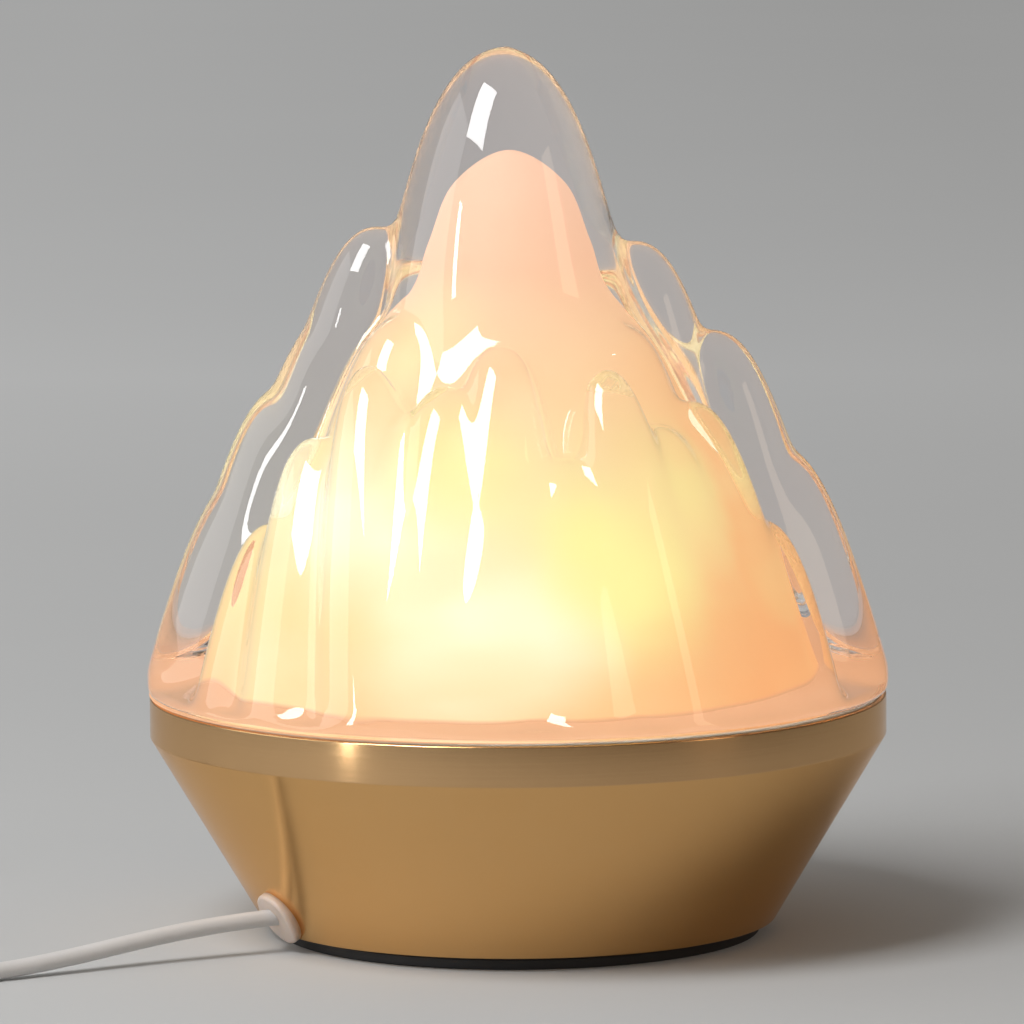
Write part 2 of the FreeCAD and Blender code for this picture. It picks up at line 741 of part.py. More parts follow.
def inner_cord():
    """The sheathed cord from the grommet through the clamp."""
    centre, _ = grommet_frame()
    along = cord_direction()
    points = [
        polar(SHEATH_END, GROMMET_DEG, CLAMP_CORD_Z),
        polar(CLAMP_AT + CLAMP_LONG, GROMMET_DEG, CLAMP_CORD_Z),
        centre - along * 7.0,
        centre,
    ]
    return cord("inner_cord", points, bends=[INNER_BEND, INNER_BEND])


def core(side, name):
    """One core, from the sheath's end up through the threaded tube to its terminal."""
    across = core_side() * (side * CORE_APART)
    out = core_side() * (side * TERMINAL_OUT)
    head_z = BLOCK_Z - TERMINAL_HEAD_H
    points = [
        polar(SHEATH_END, GROMMET_DEG, CLAMP_CORD_Z) + across,
        V(0, 0, CLAMP_CORD_Z) + across,
        V(0, 0, HOLDER_Z + NIPPLE_OVER) + across,
        V(0, 0, head_z - CORE_BEND) + out,
        V(0, 0, head_z) + out,
    ]
    return cord(name, points, CORE_D, [CORE_BEND, CORE_BEND, CORE_BEND])


def clamp_screw_places():
    middle = polar(CLAMP_AT, GROMMET_DEG, FLANGE_TOP)
    return [middle + core_side() * (side * CLAMP_SCREW_OUT) for side in (-1, 1)]


def clamp_saddle():
    """A saddle over the cord with two flat ears."""
    arch = CORD_BORE + CLAMP_T
    axis_h = CLAMP_CORD_Z - FLANGE_TOP
    ears = Part.makeBox(2 * CLAMP_EAR, CLAMP_LONG, CLAMP_T, V(-CLAMP_EAR, -CLAMP_LONG / 2, 0))
    block = Part.makeBox(2 * arch, CLAMP_LONG, axis_h, V(-arch, -CLAMP_LONG / 2, 0))
    hoop = Part.makeCylinder(arch, CLAMP_LONG, V(0, -CLAMP_LONG / 2, axis_h), V(0, 1, 0))
    saddle = ears.fuse(block).fuse(hoop)
    open_r = CORD_BORE
    saddle = saddle.cut(Part.makeCylinder(open_r, CLAMP_LONG, V(0, -CLAMP_LONG / 2, axis_h), V(0, 1, 0)))
    saddle = saddle.cut(Part.makeBox(2 * open_r, CLAMP_LONG, axis_h, V(-open_r, -CLAMP_LONG / 2, 0)))
    for side in (-1, 1):
        at = V(side * CLAMP_SCREW_OUT, 0, 0)
        saddle = saddle.cut(Part.makeCylinder(CLAMP_SCREW_R + FIT, CLAMP_T, at))
    place = polar(CLAMP_AT, GROMMET_DEG, FLANGE_TOP)
    above = Part.makeBox(4 * CLAMP_EAR, 4 * CLAMP_LONG, 4 * arch, V(-2 * CLAMP_EAR, -2 * CLAMP_LONG, 0))
    return framed(saddle.common(above).removeSplitter(), place, core_side(), Z)


def clamp_screws():
    seats = [at + V(0, 0, CLAMP_T) for at in clamp_screw_places()]
    long = CLAMP_T + WALL
    return [screw(CLAMP_HEAD_R, CLAMP_HEAD_H, CLAMP_SCREW_R, long, s, Z) for s in seats]


def globe_outline(inset):
    """The envelope's outline from neck to crown, moved inwards by inset."""
    radius = BULB_R - inset
    a = math.radians(-SHOULDER_DEG)
    crown = V(0, 0, BULB_CENTRE + radius)
    side = V(radius, 0, BULB_CENTRE)
    shoulder = V(radius * math.cos(a), 0, BULB_CENTRE + radius * math.sin(a))
    neck = V(NECK_R - inset, 0, NECK_STRAIGHT)
    down = V(math.sin(a), 0, -math.cos(a))
    reach = 0.4 * (shoulder - neck).Length
    blend = Part.BezierCurve()
    blend.setPoles([neck, neck + V(0, 0, reach), shoulder + down * reach, shoulder])
    ball = Part.Arc(shoulder, side, crown).toShape()
    foot = V(NECK_R - inset, 0, NECK_Z)
    return [Part.makeLine(foot, neck), blend.toShape(), ball], foot, crown


def bulb_globe():
    outer, outer_foot, outer_crown = globe_outline(0.0)
    inner, inner_foot, inner_crown = globe_outline(BULB_WALL)
    join_low = Part.makeLine(inner_foot, outer_foot)
    join_high = Part.makeLine(outer_crown, inner_crown)
    wire = Part.Wire(Part.__sortEdges__(outer + inner + [join_low, join_high]))
    globe = Part.Face(wire).revolve(V(0, 0, 0), Z, 360)
    globe.translate(V(0, 0, BULB_Z))
    return globe


def bulb_cap():
    """The screw cap, its round thread drawn as rings."""
    points = [(CAP_ROOT_R, CAP_LOW), (CAP_ROOT_R, CAP_THREAD_LOW)]
    for k in range(CAP_TURNS):
        low = CAP_THREAD_LOW + k * CAP_PITCH
        points += [(CAP_R, low + 0.35 * CAP_PITCH), (CAP_R, low + 0.65 * CAP_PITCH)]
        points.append((CAP_ROOT_R + 0.1, low + CAP_PITCH))
    inner = CAP_ROOT_R - CAP_T
    points += [(CAP_R, CAP_HIGH), (inner, CAP_HIGH), (inner, CAP_LOW)]
    shell = turned(points)
    shell.translate(V(0, 0, BULB_Z))
    return shell


def bulb_insulator():
    inner = CAP_ROOT_R - CAP_T - FIT
    disc = turned([
        (TIP_R + FIT, INSULATOR_LOW), (TIP_R + 2.5, INSULATOR_LOW), (CAP_ROOT_R - 1.2, CAP_LOW),
        (inner, CAP_LOW), (inner, CAP_LOW + 2.5), (TIP_R + FIT, CAP_LOW + 2.5),
    ])
    disc.translate(V(0, 0, BULB_Z))
    return disc


def bulb_contact():
    tip = Part.makeCylinder(TIP_R, CAP_LOW + 2.0)
    tip = tip.makeFillet(0.8, circles_at(tip, TIP_R, 0))
    tip.translate(V(0, 0, BULB_Z))
    return tip


def bulb_stem():
    """The glass foot inside the envelope: a flare on the neck and a solid stem."""
    foot_r = NECK_R - BULB_WALL - FIT
    stem = turned([
        (0, NECK_Z), (foot_r, NECK_Z), (foot_r, NECK_Z + 1.0), (STEM_R + 1.5, NECK_Z + 9.0),
        (STEM_R, NECK_Z + 16.0), (STEM_R - 0.6, STEM_TOP), (0, STEM_TOP),
    ])
    stem.translate(V(0, 0, BULB_Z))
    return stem


def lead_wires():
    wires = []
    for side in (-1, 1):
        start = V(side * LEAD_OUT, 0, BULB_Z + STEM_TOP)
        knee = V(side * LEAD_OUT, 0, BULB_Z + STEM_TOP + 6)
        end = V(side * LEAD_SPREAD, 0, BULB_Z + LEAD_TOP)
        path, _ = cord_path([start, knee, end], [4.0])
        wires.append(sweep(path, 2 * LEAD_R))
    return wires


def filament():
    """The filament's arc between the two lead wires."""
    z = BULB_Z + LEAD_TOP + FILAMENT_R + LEAD_R
    left = V(-LEAD_SPREAD, 0, z)
    right = V(LEAD_SPREAD, 0, z)
    arc = Part.Wire(Part.Arc(left, V(0, LEAD_SPREAD * 0.6, z + 3), right).toShape())
    return sweep(arc, 2 * FILAMENT_R)


def cord_grommet():
    """A round flange that lies on the cone, a neck through the wall and a lip behind it."""
    centre, normal = grommet_frame()
    flange = Part.makeCylinder(GROMMET_R, GROMMET_T + GROMMET_SINK, V(0, 0, -GROMMET_SINK))
    flange = flange.makeFillet(GROMMET_ROUND, circles_at(flange, GROMMET_R, GROMMET_T))
    flange = framed(flange, centre, core_side(), normal)
    cone = turned([(0, BOWL_Z), (FOOT_R, BOWL_Z), (RIM_R, CREASE_Z), (0, CREASE_Z)])
    flange = flange.cut(cone)
    inner_z = -WALL - GROMMET_LIP_GAP - GROMMET_LIP_T
    neck = Part.makeCylinder(GROMMET_NECK_R, GROMMET_T - inner_z, V(0, 0, inner_z))
    lip = Part.makeCylinder(GROMMET_NECK_R + GROMMET_LIP, GROMMET_LIP_T, V(0, 0, inner_z))
    inside = framed(neck.fuse(lip), centre, core_side(), normal)
    body = flange.fuse(inside).removeSplitter()
    along = cord_direction()
    reach = 4 * GROMMET_R
    return body.cut(Part.makeCylinder(CORD_BORE, 2 * reach, centre - along * reach, along))


def free_route():
    """Points of the cord from the grommet to the switch, chosen by hand along the photograph's curve."""
    centre, _ = grommet_frame()
    return [
        centre,
        V(-95, -51.6, 11.0),
        V(-118, -63.4, 8.4),
        V(-141, -76.8, 5.0),
        V(-163, -90.4, 2.9),
        V(-181, -101.0, 2.85),
        V(-203, -99.5, 2.9),
        V(-218.5, -87.5, 3.9),
        V(SWITCH_X, SWITCH_Y - 8, SWITCH_LOW),
        V(SWITCH_X, SWITCH_Y + CORD_IN, SWITCH_LOW),
    ]


def mid_route():
    start = coil_ends()[0]
    return [
        V(SWITCH_X, SWITCH_Y + SWITCH_LONG - CORD_IN, SWITCH_LOW),
        V(SWITCH_X, SWITCH_Y + SWITCH_LONG + 7, SWITCH_LOW),
        start - V(0, 13.5, 0),
        start,
    ]


def coil_turns():
    """Start, end and side of each half turn: spiral in on the table, climb once, spiral out on top."""
    radii = [COIL_R - k * COIL_PITCH / 2 for k in range(COIL_HALVES)]
    climb = COIL_R - COIL_HALVES * COIL_PITCH / 2
    plan = [(r, 0.0) for r in radii] + [(climb, COIL_PITCH)] + [(r, 0.0) for r in reversed(radii[1:])]
    at = V(COIL_X + COIL_R, COIL_Y, COIL_Z)
    side = 1
    turns = []
    for radius, rise in plan:
        end = at + V(-2 * radius * side, 0, rise)
        turns.append((at, end, side))
        at = end
        side = -side
    return turns


def coil_ends():
    """Where the coil's straight ends stop: on the table, and on its second layer."""
    turns = coil_turns()
    return turns[0][0] - V(0, CORD_D, 0), turns[-1][1] + V(0, CORD_D, 0)


def half_turn(start, end, way):
    """Two equal arcs from start to end that leave along way and arrive against it."""
    reach = (end - start).Length / 2
    first = start + way * reach
    second = end + way * reach
    middle = (first + second) / 2
    arcs = []
    for a, corner, b in ((start, first, middle), (middle, second, end)):
        chord = (a + b) / 2
        side = (corner - a).Length
        radius = side * (b - a).Length / 2 / (corner - chord).Length
        centre = corner + (chord - corner).normalize() * math.hypot(radius, side)
        on_arc = centre + (corner - centre).normalize() * radius
        arcs.append(Part.Arc(a, on_arc, b).toShape())
    return arcs


def coil_wire():
    low, high = coil_ends()
    turns = coil_turns()
    edges = [Part.LineSegment(low, turns[0][0]).toShape()]
    for start, end, side in turns:
        edges += half_turn(start, end, V(0, side, 0))
    edges.append(Part.LineSegment(turns[-1][1], high).toShape())
    return Part.Wire(edges)


def least_gap(wire, diameter, skip):
    """The least distance between turns, from points along the wire, less one diameter."""
    points = wire.discretize(Distance=2.0)
    step = wire.Length / (len(points) - 1)
    apart = int(skip / step)
    least = 1e9
    for i, p in enumerate(points):
        for q in points[i + apart:]:
            least = min(least, p.distanceToPoint(q))
    return least - diameter


def cord_coil():
    wire = coil_wire()
    solid = sweep(wire, CORD_D)
    due = math.pi * CORD_R ** 2 * wire.Length
    gap = least_gap(wire, CORD_D, 40.0)
    print(f"cord_coil: length {wire.Length:.1f}, volume ratio {solid.Volume / due:.5f}, least gap {gap:.2f}")
    return solid


def plug_start():
    high = coil_ends()[1]
    return high + V(4.85, 42.8, PLUG_THICK / 2 - high.z)


def tail_route():
    high = coil_ends()[1]
    over = high + V(0, 10.5, 0)
    past = high + V(0.45, 21.5, -0.05)
    return [high, over, past, plug_start() - polar(11.0, PLUG_HEADING), plug_start()]


def rounded_block(long, wide, corner, z_low, height):
    """A block along X with rounded corners in plan."""
    box = Part.makeBox(long, wide, height, V(0, -wide / 2, z_low))
    upright = [e for e in box.Edges if abs(e.tangentAt(e.FirstParameter).z) > 0.9]
    return box.makeFillet(corner, upright)


def edges_at(shape, z):
    """The edges that lie in one level plane."""
    return [e for e in shape.Edges if abs(e.BoundBox.ZMin - z) < 1e-4 and abs(e.BoundBox.ZMax - z) < 1e-4]


def switch_placed(shape):
    """From the switch's own frame, with X along the cord, to its place."""
    return framed(shape, V(SWITCH_X, SWITCH_Y, 0), V(0, 1, 0), Z)


def switch_bores(shape):
    bore = Part.makeCylinder(CORD_BORE, SWITCH_LONG + 2, V(-1, 0, SWITCH_LOW), V(1, 0, 0))
    return shape.cut(bore)


def switch_screw_seats():
    middle = SWITCH_LONG / 2
    out, aside = SWITCH_SCREW_OUT, SWITCH_WIDE / 4
    return [V(middle + side * out, side * aside, SWITCH_SCREW_HEAD_H) for side in (-1, 1)]


def switch_base():
    shell = rounded_block(SWITCH_LONG, SWITCH_WIDE, SWITCH_CORNER, 0, SWITCH_LOW)
    shell = shell.makeFillet(SWITCH_ROUND / 2, edges_at(shell, 0))
    inner_long = SWITCH_LONG - 2 * SWITCH_WALL
    inner_wide = SWITCH_WIDE - 2 * SWITCH_WALL
    room = rounded_block(inner_long, inner_wide, SWITCH_CORNER - SWITCH_WALL, SWITCH_WALL, SWITCH_LOW)
    room.translate(V(SWITCH_WALL, 0, 0))
    shell = shell.cut(room)
    for seat in switch_screw_seats():
        foot = V(seat.x, seat.y, 0)
        shell = shell.fuse(Part.makeCylinder(SWITCH_SCREW_HEAD_R + 1, SWITCH_LOW, foot))
        shell = shell.cut(Part.makeCylinder(SWITCH_SCREW_HEAD_R + FIT, SWITCH_SCREW_HEAD_H, foot))
        shell = shell.cut(Part.makeCylinder(SWITCH_SCREW_R + FIT, SWITCH_LOW, foot))
    return switch_placed(switch_bores(shell).removeSplitter())


def rocker_pivot():
    """The rocker's pivot in the switch's own frame."""
    return V(SWITCH_LONG / 2, 0, SWITCH_LOW + SWITCH_HIGH - ROCKER_AXIS_DOWN)


def switch_cover():
    top = SWITCH_LOW + SWITCH_HIGH
    shell = rounded_block(SWITCH_LONG, SWITCH_WIDE, SWITCH_CORNER, SWITCH_LOW, SWITCH_HIGH)
    shell = shell.makeFillet(SWITCH_ROUND, edges_at(shell, top))
    inner_long = SWITCH_LONG - 2 * SWITCH_WALL
    inner_wide = SWITCH_WIDE - 2 * SWITCH_WALL
    inner_high = SWITCH_HIGH - SWITCH_WALL
    room = rounded_block(inner_long, inner_wide, SWITCH_CORNER - SWITCH_WALL, SWITCH_LOW, inner_high)
    room.translate(V(SWITCH_WALL, 0, 0))
    shell = shell.cut(room)
    window = Part.makeBox(ROCKER_LONG + 6 * SLIDE, ROCKER_WIDE + 2 * SLIDE, SWITCH_HIGH)
    low_x = SWITCH_LONG / 2 - ROCKER_LONG / 2 - 3 * SLIDE
    window.translate(V(low_x, -ROCKER_WIDE / 2 - SLIDE, SWITCH_LOW + 1))
    shell = shell.cut(window)
    pivot = rocker_pivot()
    cheek_in = ROCKER_WIDE / 2 + SLIDE
    for side in (-1, 1):
        y = cheek_in if side > 0 else -cheek_in - SWITCH_WALL
        cheek = Part.makeBox(8, SWITCH_WALL, top - SWITCH_WALL - pivot.z + 3, V(pivot.x - 4, y, pivot.z - 3))
        shell = shell.fuse(cheek)
    cheek_out = cheek_in + SWITCH_WALL
    bore = Part.makeCylinder(PIN_R + FIT, 2 * cheek_out, V(pivot.x, -cheek_out, pivot.z), V(0, 1, 0))
    shell = shell.cut(bore)
    for seat in switch_screw_seats():
        foot = V(seat.x, seat.y, SWITCH_LOW)
        post = Part.makeCylinder(SWITCH_SCREW_R + 1.4, SWITCH_HIGH - SWITCH_WALL / 2, foot)
        shell = shell.fuse(post)
        shell = shell.cut(Part.makeCylinder(SWITCH_SCREW_R + FIT, SWITCH_HIGH / 2, foot))
    return switch_placed(switch_bores(shell).removeSplitter())


def switch_rocker():
    """A curved rocker with a skirt, tilted to its on side."""
    pivot = rocker_pivot()
    half = ROCKER_LONG / 2
    top = ROCKER_AXIS_DOWN + ROCKER_RISE
    dip = ROCKER_AXIS_DOWN + 0.8
    left = V(-half, 0, top)
    low_left = V(-half + 1.2, 0, -ROCKER_SKIRT)
    low_right = V(half - 1.2, 0, -ROCKER_SKIRT)
    right = V(half, 0, top)
    face_arc = Part.Arc(right, V(0, 0, dip), left).toShape()
    corners = [left, low_left, low_right, right]
    lines = [Part.makeLine(a, b) for a, b in zip(corners, corners[1:])]
    face = Part.Face(Part.Wire(lines + [face_arc]))
    block = face.extrude(V(0, ROCKER_WIDE, 0))
    block.translate(V(0, -ROCKER_WIDE / 2, 0))
    block = block.cut(Part.makeCylinder(PIN_R + FIT, ROCKER_WIDE, V(0, -ROCKER_WIDE / 2, 0), V(0, 1, 0)))
    block.rotate(V(0, 0, 0), V(0, 1, 0), ROCKER_DEG)
    block.translate(pivot)
    return switch_placed(block)


def rocker_pin():
    pivot = rocker_pivot()
    half = ROCKER_WIDE / 2 + SLIDE + SWITCH_WALL
    return switch_placed(Part.makeCylinder(PIN_R, 2 * half, V(pivot.x, -half, pivot.z), V(0, 1, 0)))


def switch_screws():
    long = SWITCH_LOW - SWITCH_SCREW_HEAD_H + SWITCH_HIGH / 2
    screws = []
    for seat in switch_screw_seats():
        one = screw(SWITCH_SCREW_HEAD_R, SWITCH_SCREW_HEAD_H, SWITCH_SCREW_R, long, seat, V(0, 0, -1))
        screws.append(switch_placed(one))
    return screws


def switch_contacts():
    """Two brass strips on the floor of the lower shell, each with an upright tongue."""
    strips = []
    for side in (-1, 1):
        y = side * 6.5 - STRIP_WIDE / 2
        x = SWITCH_LONG / 2 - STRIP_LONG / 2
        flat = Part.makeBox(STRIP_LONG, STRIP_WIDE, STRIP_T, V(x, y, SWITCH_WALL))
        post = Part.makeBox(STRIP_T, STRIP_WIDE, STRIP_POST, V(x, y, SWITCH_WALL))
        strips.append(switch_placed(flat.fuse(post).removeSplitter()))
    return strips


def plug_placed(shape):
    """From the plug's own frame, with X along it from the cord, to its place."""
    return framed(shape, plug_start(), polar(1.0, PLUG_HEADING), Z)


def plug_body():
    """A flat moulded body that narrows to its nose, with a tapered, ribbed strain relief."""
    start = RELIEF_LONG
    end = RELIEF_LONG + PLUG_LONG
    half = PLUG_WIDE / 2
    nose = PLUG_NOSE / 2
    low = -PLUG_THICK / 2
    shoulder = 10.0
    outline = [
        V(start, -RELIEF_FOOT_R, low), V(start + shoulder, -half, low),
        V(end - 8, -half, low), V(end, -nose, low),
        V(end, nose, low), V(end - 8, half, low),
        V(start + shoulder, half, low), V(start, RELIEF_FOOT_R, low),
    ]
    body = Part.Face(Part.makePolygon(outline + outline[:1])).extrude(V(0, 0, PLUG_THICK))
    body = body.makeFillet(PLUG_ROUND, edges_at(body, low) + edges_at(body, -low))
    relief = Part.makeCone(RELIEF_R, RELIEF_FOOT_R, RELIEF_LONG + 4, V(0, 0, 0), V(1, 0, 0))
    body = body.fuse(relief).removeSplitter()
    rib = RELIEF_LONG / (RELIEF_RIBS + 1)
    for k in range(RELIEF_RIBS):
        x = (k + 0.75) * rib
        groove = Part.makeCylinder(2 * RELIEF_FOOT_R, rib * 0.35, V(x, 0, 0), V(1, 0, 0))
        groove = groove.cut(Part.makeCylinder(RELIEF_R - 0.6, rib * 0.35, V(x, 0, 0), V(1, 0, 0)))
        body = body.cut(groove)
    for side in (-1, 1):
        at = V(end - 8, side * PIN_APART / 2, 0)
        body = body.cut(Part.makeCylinder(PLUG_PIN_R + FIT, 8, at, V(1, 0, 0)))
    return plug_placed(body)


def plug_pins():
    pins = []
    end = RELIEF_LONG + PLUG_LONG
    for side in (-1, 1):
        at = V(end - 8, side * PIN_APART / 2, 0)
        pin = Part.makeCylinder(PLUG_PIN_R, PLUG_PIN_LONG + 8, at, V(1, 0, 0))
        tip = [e for e in pin.Edges if isinstance(e.Curve, Part.Circle) and e.Curve.Center.x > end]
        pins.append(plug_placed(pin.makeFillet(PLUG_PIN_TIP, tip)))
    return pins


def nodes():
    return {
        "glass_shade": glass_shade(),
        "rim_gasket": rim_gasket(),
        "brass_bowl": brass_bowl(),
        "foot_ring": foot_ring(),
        "bottom_plate": bottom_plate(),
        "bottom_screws": bottom_screws(),
        "flange_nuts": flange_nuts(),
        "holder_bridge": holder_bridge(),
        "bridge_rivets": bridge_rivets(),
        "holder_nipple": holder_nipple(),
        "nipple_nut": nipple_nut(),
        "lock_washer": lock_washer(),
        "holder_cap": holder_cap(),
        "holder_sleeve": holder_sleeve(),
        "contact_block": contact_block(),
        "centre_contact": centre_contact(),
        "side_contact": side_contact(),
        "screw_shell": screw_shell(),
        "terminal_screws": terminal_screws(),
        "inner_cord": inner_cord(),
        "live_wire": core(1, "live_wire"),
        "neutral_wire": core(-1, "neutral_wire"),
        "clamp_saddle": clamp_saddle(),
        "clamp_screws": clamp_screws(),
        "bulb_globe": bulb_globe(),
        "bulb_cap": bulb_cap(),
        "bulb_insulator": bulb_insulator(),
        "bulb_contact": bulb_contact(),
        "bulb_stem": bulb_stem(),
        "lead_wires": lead_wires(),
        "filament": filament(),
        "cord_grommet": cord_grommet(),
        "cord_free": cord("cord_free", free_route()),
        "switch_base": switch_base(),
        "switch_cover": switch_cover(),
        "switch_rocker": switch_rocker(),
        "rocker_pin": rocker_pin(),
        "switch_screws": switch_screws(),
        "switch_contacts": switch_contacts(),
        "cord_mid": cord("cord_mid", mid_route()),
        "cord_coil": cord_coil(),
        "cord_tail": cord("cord_tail", tail_route()),
        "plug_body": plug_body(),
        "plug_pins": plug_pins(),
    }


def export_all():
    os.makedirs("parts", exist_ok=True)
    for name, shape in nodes().items():
        if isinstance(shape, list):
            shape = Part.makeCompound(shape)
        for solid in shape.Solids:
            if not solid.isValid():
                print(f"{name}: a solid isn't valid")
        print(f"{name}: {len(shape.Solids)} solids, volume {sum(s.Volume for s in shape.Solids):.1f}")
        shape.exportStep(f"parts/{name}.step")


export_all()
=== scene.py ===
"""A lit table lamp: a clear glass mountain with a satin hollow on a spun brass bowl, and its cord."""

import math

import bmesh
import bpy
import numpy as np
from mathutils import Matrix, Vector


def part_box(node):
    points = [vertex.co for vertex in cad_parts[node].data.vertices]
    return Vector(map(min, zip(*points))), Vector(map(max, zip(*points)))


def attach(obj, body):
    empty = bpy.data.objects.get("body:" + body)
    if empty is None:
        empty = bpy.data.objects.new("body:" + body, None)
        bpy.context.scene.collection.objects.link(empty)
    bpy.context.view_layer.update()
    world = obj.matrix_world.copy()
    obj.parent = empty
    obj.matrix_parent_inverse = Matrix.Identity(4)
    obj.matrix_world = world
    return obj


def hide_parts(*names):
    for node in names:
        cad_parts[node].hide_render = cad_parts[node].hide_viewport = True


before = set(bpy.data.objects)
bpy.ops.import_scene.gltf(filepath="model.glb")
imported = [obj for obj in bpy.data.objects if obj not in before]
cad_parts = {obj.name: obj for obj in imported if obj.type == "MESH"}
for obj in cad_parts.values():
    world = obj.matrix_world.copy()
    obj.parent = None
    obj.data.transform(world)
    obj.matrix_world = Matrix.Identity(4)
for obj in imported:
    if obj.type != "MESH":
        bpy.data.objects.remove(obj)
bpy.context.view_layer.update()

bl_info = {
    "name": "Mountain table lamp",
    "version": (1, 0, 0),
    "blender": (4, 5, 0),
    "location": "View3D > Sidebar > Lamp",
    "description": "Builds a glass mountain lamp around its packed frame",
    "category": "Object",
}

MM = 0.001
WELD = 0.002 * MM        # distance under which a tree's points are one
COPY_WELD = 0.001 * MM   # the same for a copied solid
FLAT_ANGLE = 0.6         # degrees under which a copied solid's faces are one
SHARP_ANGLE = 32         # degrees above which an edge of a made piece stays sharp
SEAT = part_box("glass_shade")[0].z
BOWL_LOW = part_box("brass_bowl")[0].z
BOWL_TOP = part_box("brass_bowl")[1].z
RIM_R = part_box("brass_bowl")[1].x


# Sizes and colours a user would change


class LampGlass(bpy.types.PropertyGroup):
    """The glass mountain and its hollow."""

    around: bpy.props.IntProperty(
        name="Points around", description="Points in each ring of the glass", default=540,
    )
    rings: bpy.props.IntProperty(
        name="Rings", description="Rings from the foot to the peak", default=150,
    )
    blend: bpy.props.FloatProperty(
        name="Valley softness", description="Softness of the valleys between ridges, in millimetres",
        default=2.6,
    )
    cap: bpy.props.FloatProperty(
        name="Top roundness", description="Roundness of each ridge's top, in millimetres", default=4.0,
    )
    foot_round: bpy.props.FloatProperty(
        name="Foot rounding", description="Rounding of the foot's edge", default=0.003, unit="LENGTH",
    )
    lining: bpy.props.FloatProperty(
        name="Satin layer", description="How far the satin layer reaches into the glass",
        default=0.0004, unit="LENGTH",
    )
    tint: bpy.props.FloatVectorProperty(
        name="Glass tint", description="Colour of the clear glass", subtype="COLOR", size=4,
        default=(0.99, 0.972, 0.98, 1),
    )
    glow: bpy.props.FloatProperty(
        name="Glow", description="Brightness of the lit satin layer", default=0.92,
    )


class LampBowl(bpy.types.PropertyGroup):
    """The spun brass bowl."""

    segments: bpy.props.IntProperty(name="Segments", description="Faces around the bowl", default=288)
    wall: bpy.props.FloatProperty(
        name="Wall", description="Thickness of the brass sheet", default=0.0015, unit="LENGTH",
    )
    foot_r: bpy.props.FloatProperty(
        name="Foot radius", description="Radius where the cone starts", default=0.083, unit="LENGTH",
    )
    band: bpy.props.FloatProperty(
        name="Band height", description="Height of the upright band", default=0.0129, unit="LENGTH",
    )
    brass: bpy.props.FloatVectorProperty(
        name="Brass", description="Colour of the brass", subtype="COLOR", size=4,
        default=(0.79, 0.47, 0.19, 1),
    )


class LampCord(bpy.types.PropertyGroup):
    """The cord, its switch and its plug."""

    diameter: bpy.props.FloatProperty(
        name="Diameter", description="Diameter of the cord", default=0.0055, unit="LENGTH",
    )
    sheath: bpy.props.FloatVectorProperty(
        name="Sheath", description="Colour of the cord's sheath", subtype="COLOR", size=4,
        default=(0.62, 0.612, 0.605, 1),
    )


class LampStage(bpy.types.PropertyGroup):
    """Floor, light and camera."""

    floor: bpy.props.FloatVectorProperty(
        name="Floor", description="Colour of the floor and backdrop", subtype="COLOR", size=4,
        default=(0.475, 0.484, 0.488, 1),
    )
    key: bpy.props.FloatProperty(
        name="Key light", description="Power of the softbox at the front left, in watts", default=20.0,
    )
    strip: bpy.props.FloatProperty(
        name="Strip light", description="Power of the narrow low light at the left, in watts",
        default=3.2,
    )
    window: bpy.props.FloatProperty(
        name="Window light", description="Power of the broad soft light at the left, in watts",
        default=11.0,
    )
    fill: bpy.props.FloatProperty(
        name="Fill light", description="Power of the softbox at the right, in watts", default=2.0,
    )
    world: bpy.props.FloatProperty(
        name="Room light", description="Strength of the even room light", default=0.22,
    )
    backlight: bpy.props.FloatProperty(
        name="Backdrop light", description="Light that fills the far end of the backdrop", default=0.46,
    )
    distance: bpy.props.FloatProperty(
        name="Camera distance", description="Distance from the lamp's axis to the camera", default=3.0,
        unit="LENGTH",
    )


# Mesh helpers


def link(name, mesh):
    """An object of a mesh or curve, in the scene."""
    piece = bpy.data.objects.new(name, mesh)
    bpy.context.scene.collection.objects.link(piece)
    return piece


def face_outwards(mesh):
    """Turns the faces of a closed mesh outwards."""
    bm = bmesh.new()
    bm.from_mesh(mesh)
    bmesh.ops.recalc_face_normals(bm, faces=bm.faces)
    bm.to_mesh(mesh)
    bm.free()


def mesh_piece(name, verts, faces, material):
    """A smooth mesh object at the origin from vertices and faces."""
    mesh = bpy.data.meshes.new(name)
    mesh.from_pydata([tuple(v) for v in verts], [], faces)
    mesh.materials.append(material)
    face_outwards(mesh)
    mesh.polygons.foreach_set("use_smooth", [True] * len(mesh.polygons))
    return link(name, mesh)


def apply_modifiers(piece):
    """Turns a piece and its modifiers into one plain mesh."""
    bpy.context.view_layer.update()
    graph = bpy.context.evaluated_depsgraph_get()
    mesh = bpy.data.meshes.new_from_object(piece.evaluated_get(graph))
    mesh.name = piece.name
    piece.modifiers.clear()
    piece.data = mesh
    face_outwards(mesh)
    return piece


def round_corner(before, corner, after, radius, steps=5):
    """Points of an arc that rounds a corner of a profile of (radius, height) pairs."""
    p, c, q = (np.array(v, float) for v in (before, corner, after))
    a = (p - c) / np.linalg.norm(p - c)
    b = (q - c) / np.linalg.norm(q - c)
    half = math.acos(max(-1.0, min(1.0, float(a @ b)))) / 2
    reach = radius / math.tan(half)
    middle = c + (a + b) / np.linalg.norm(a + b) * radius / math.sin(half)
    start = c + a * reach - middle
    end = c + b * reach - middle
    points = []
    for k in range(steps + 1):
        t = k / steps
        way = start * (1 - t) + end * t
        points.append(tuple(middle + way / np.linalg.norm(way) * radius))
    return points


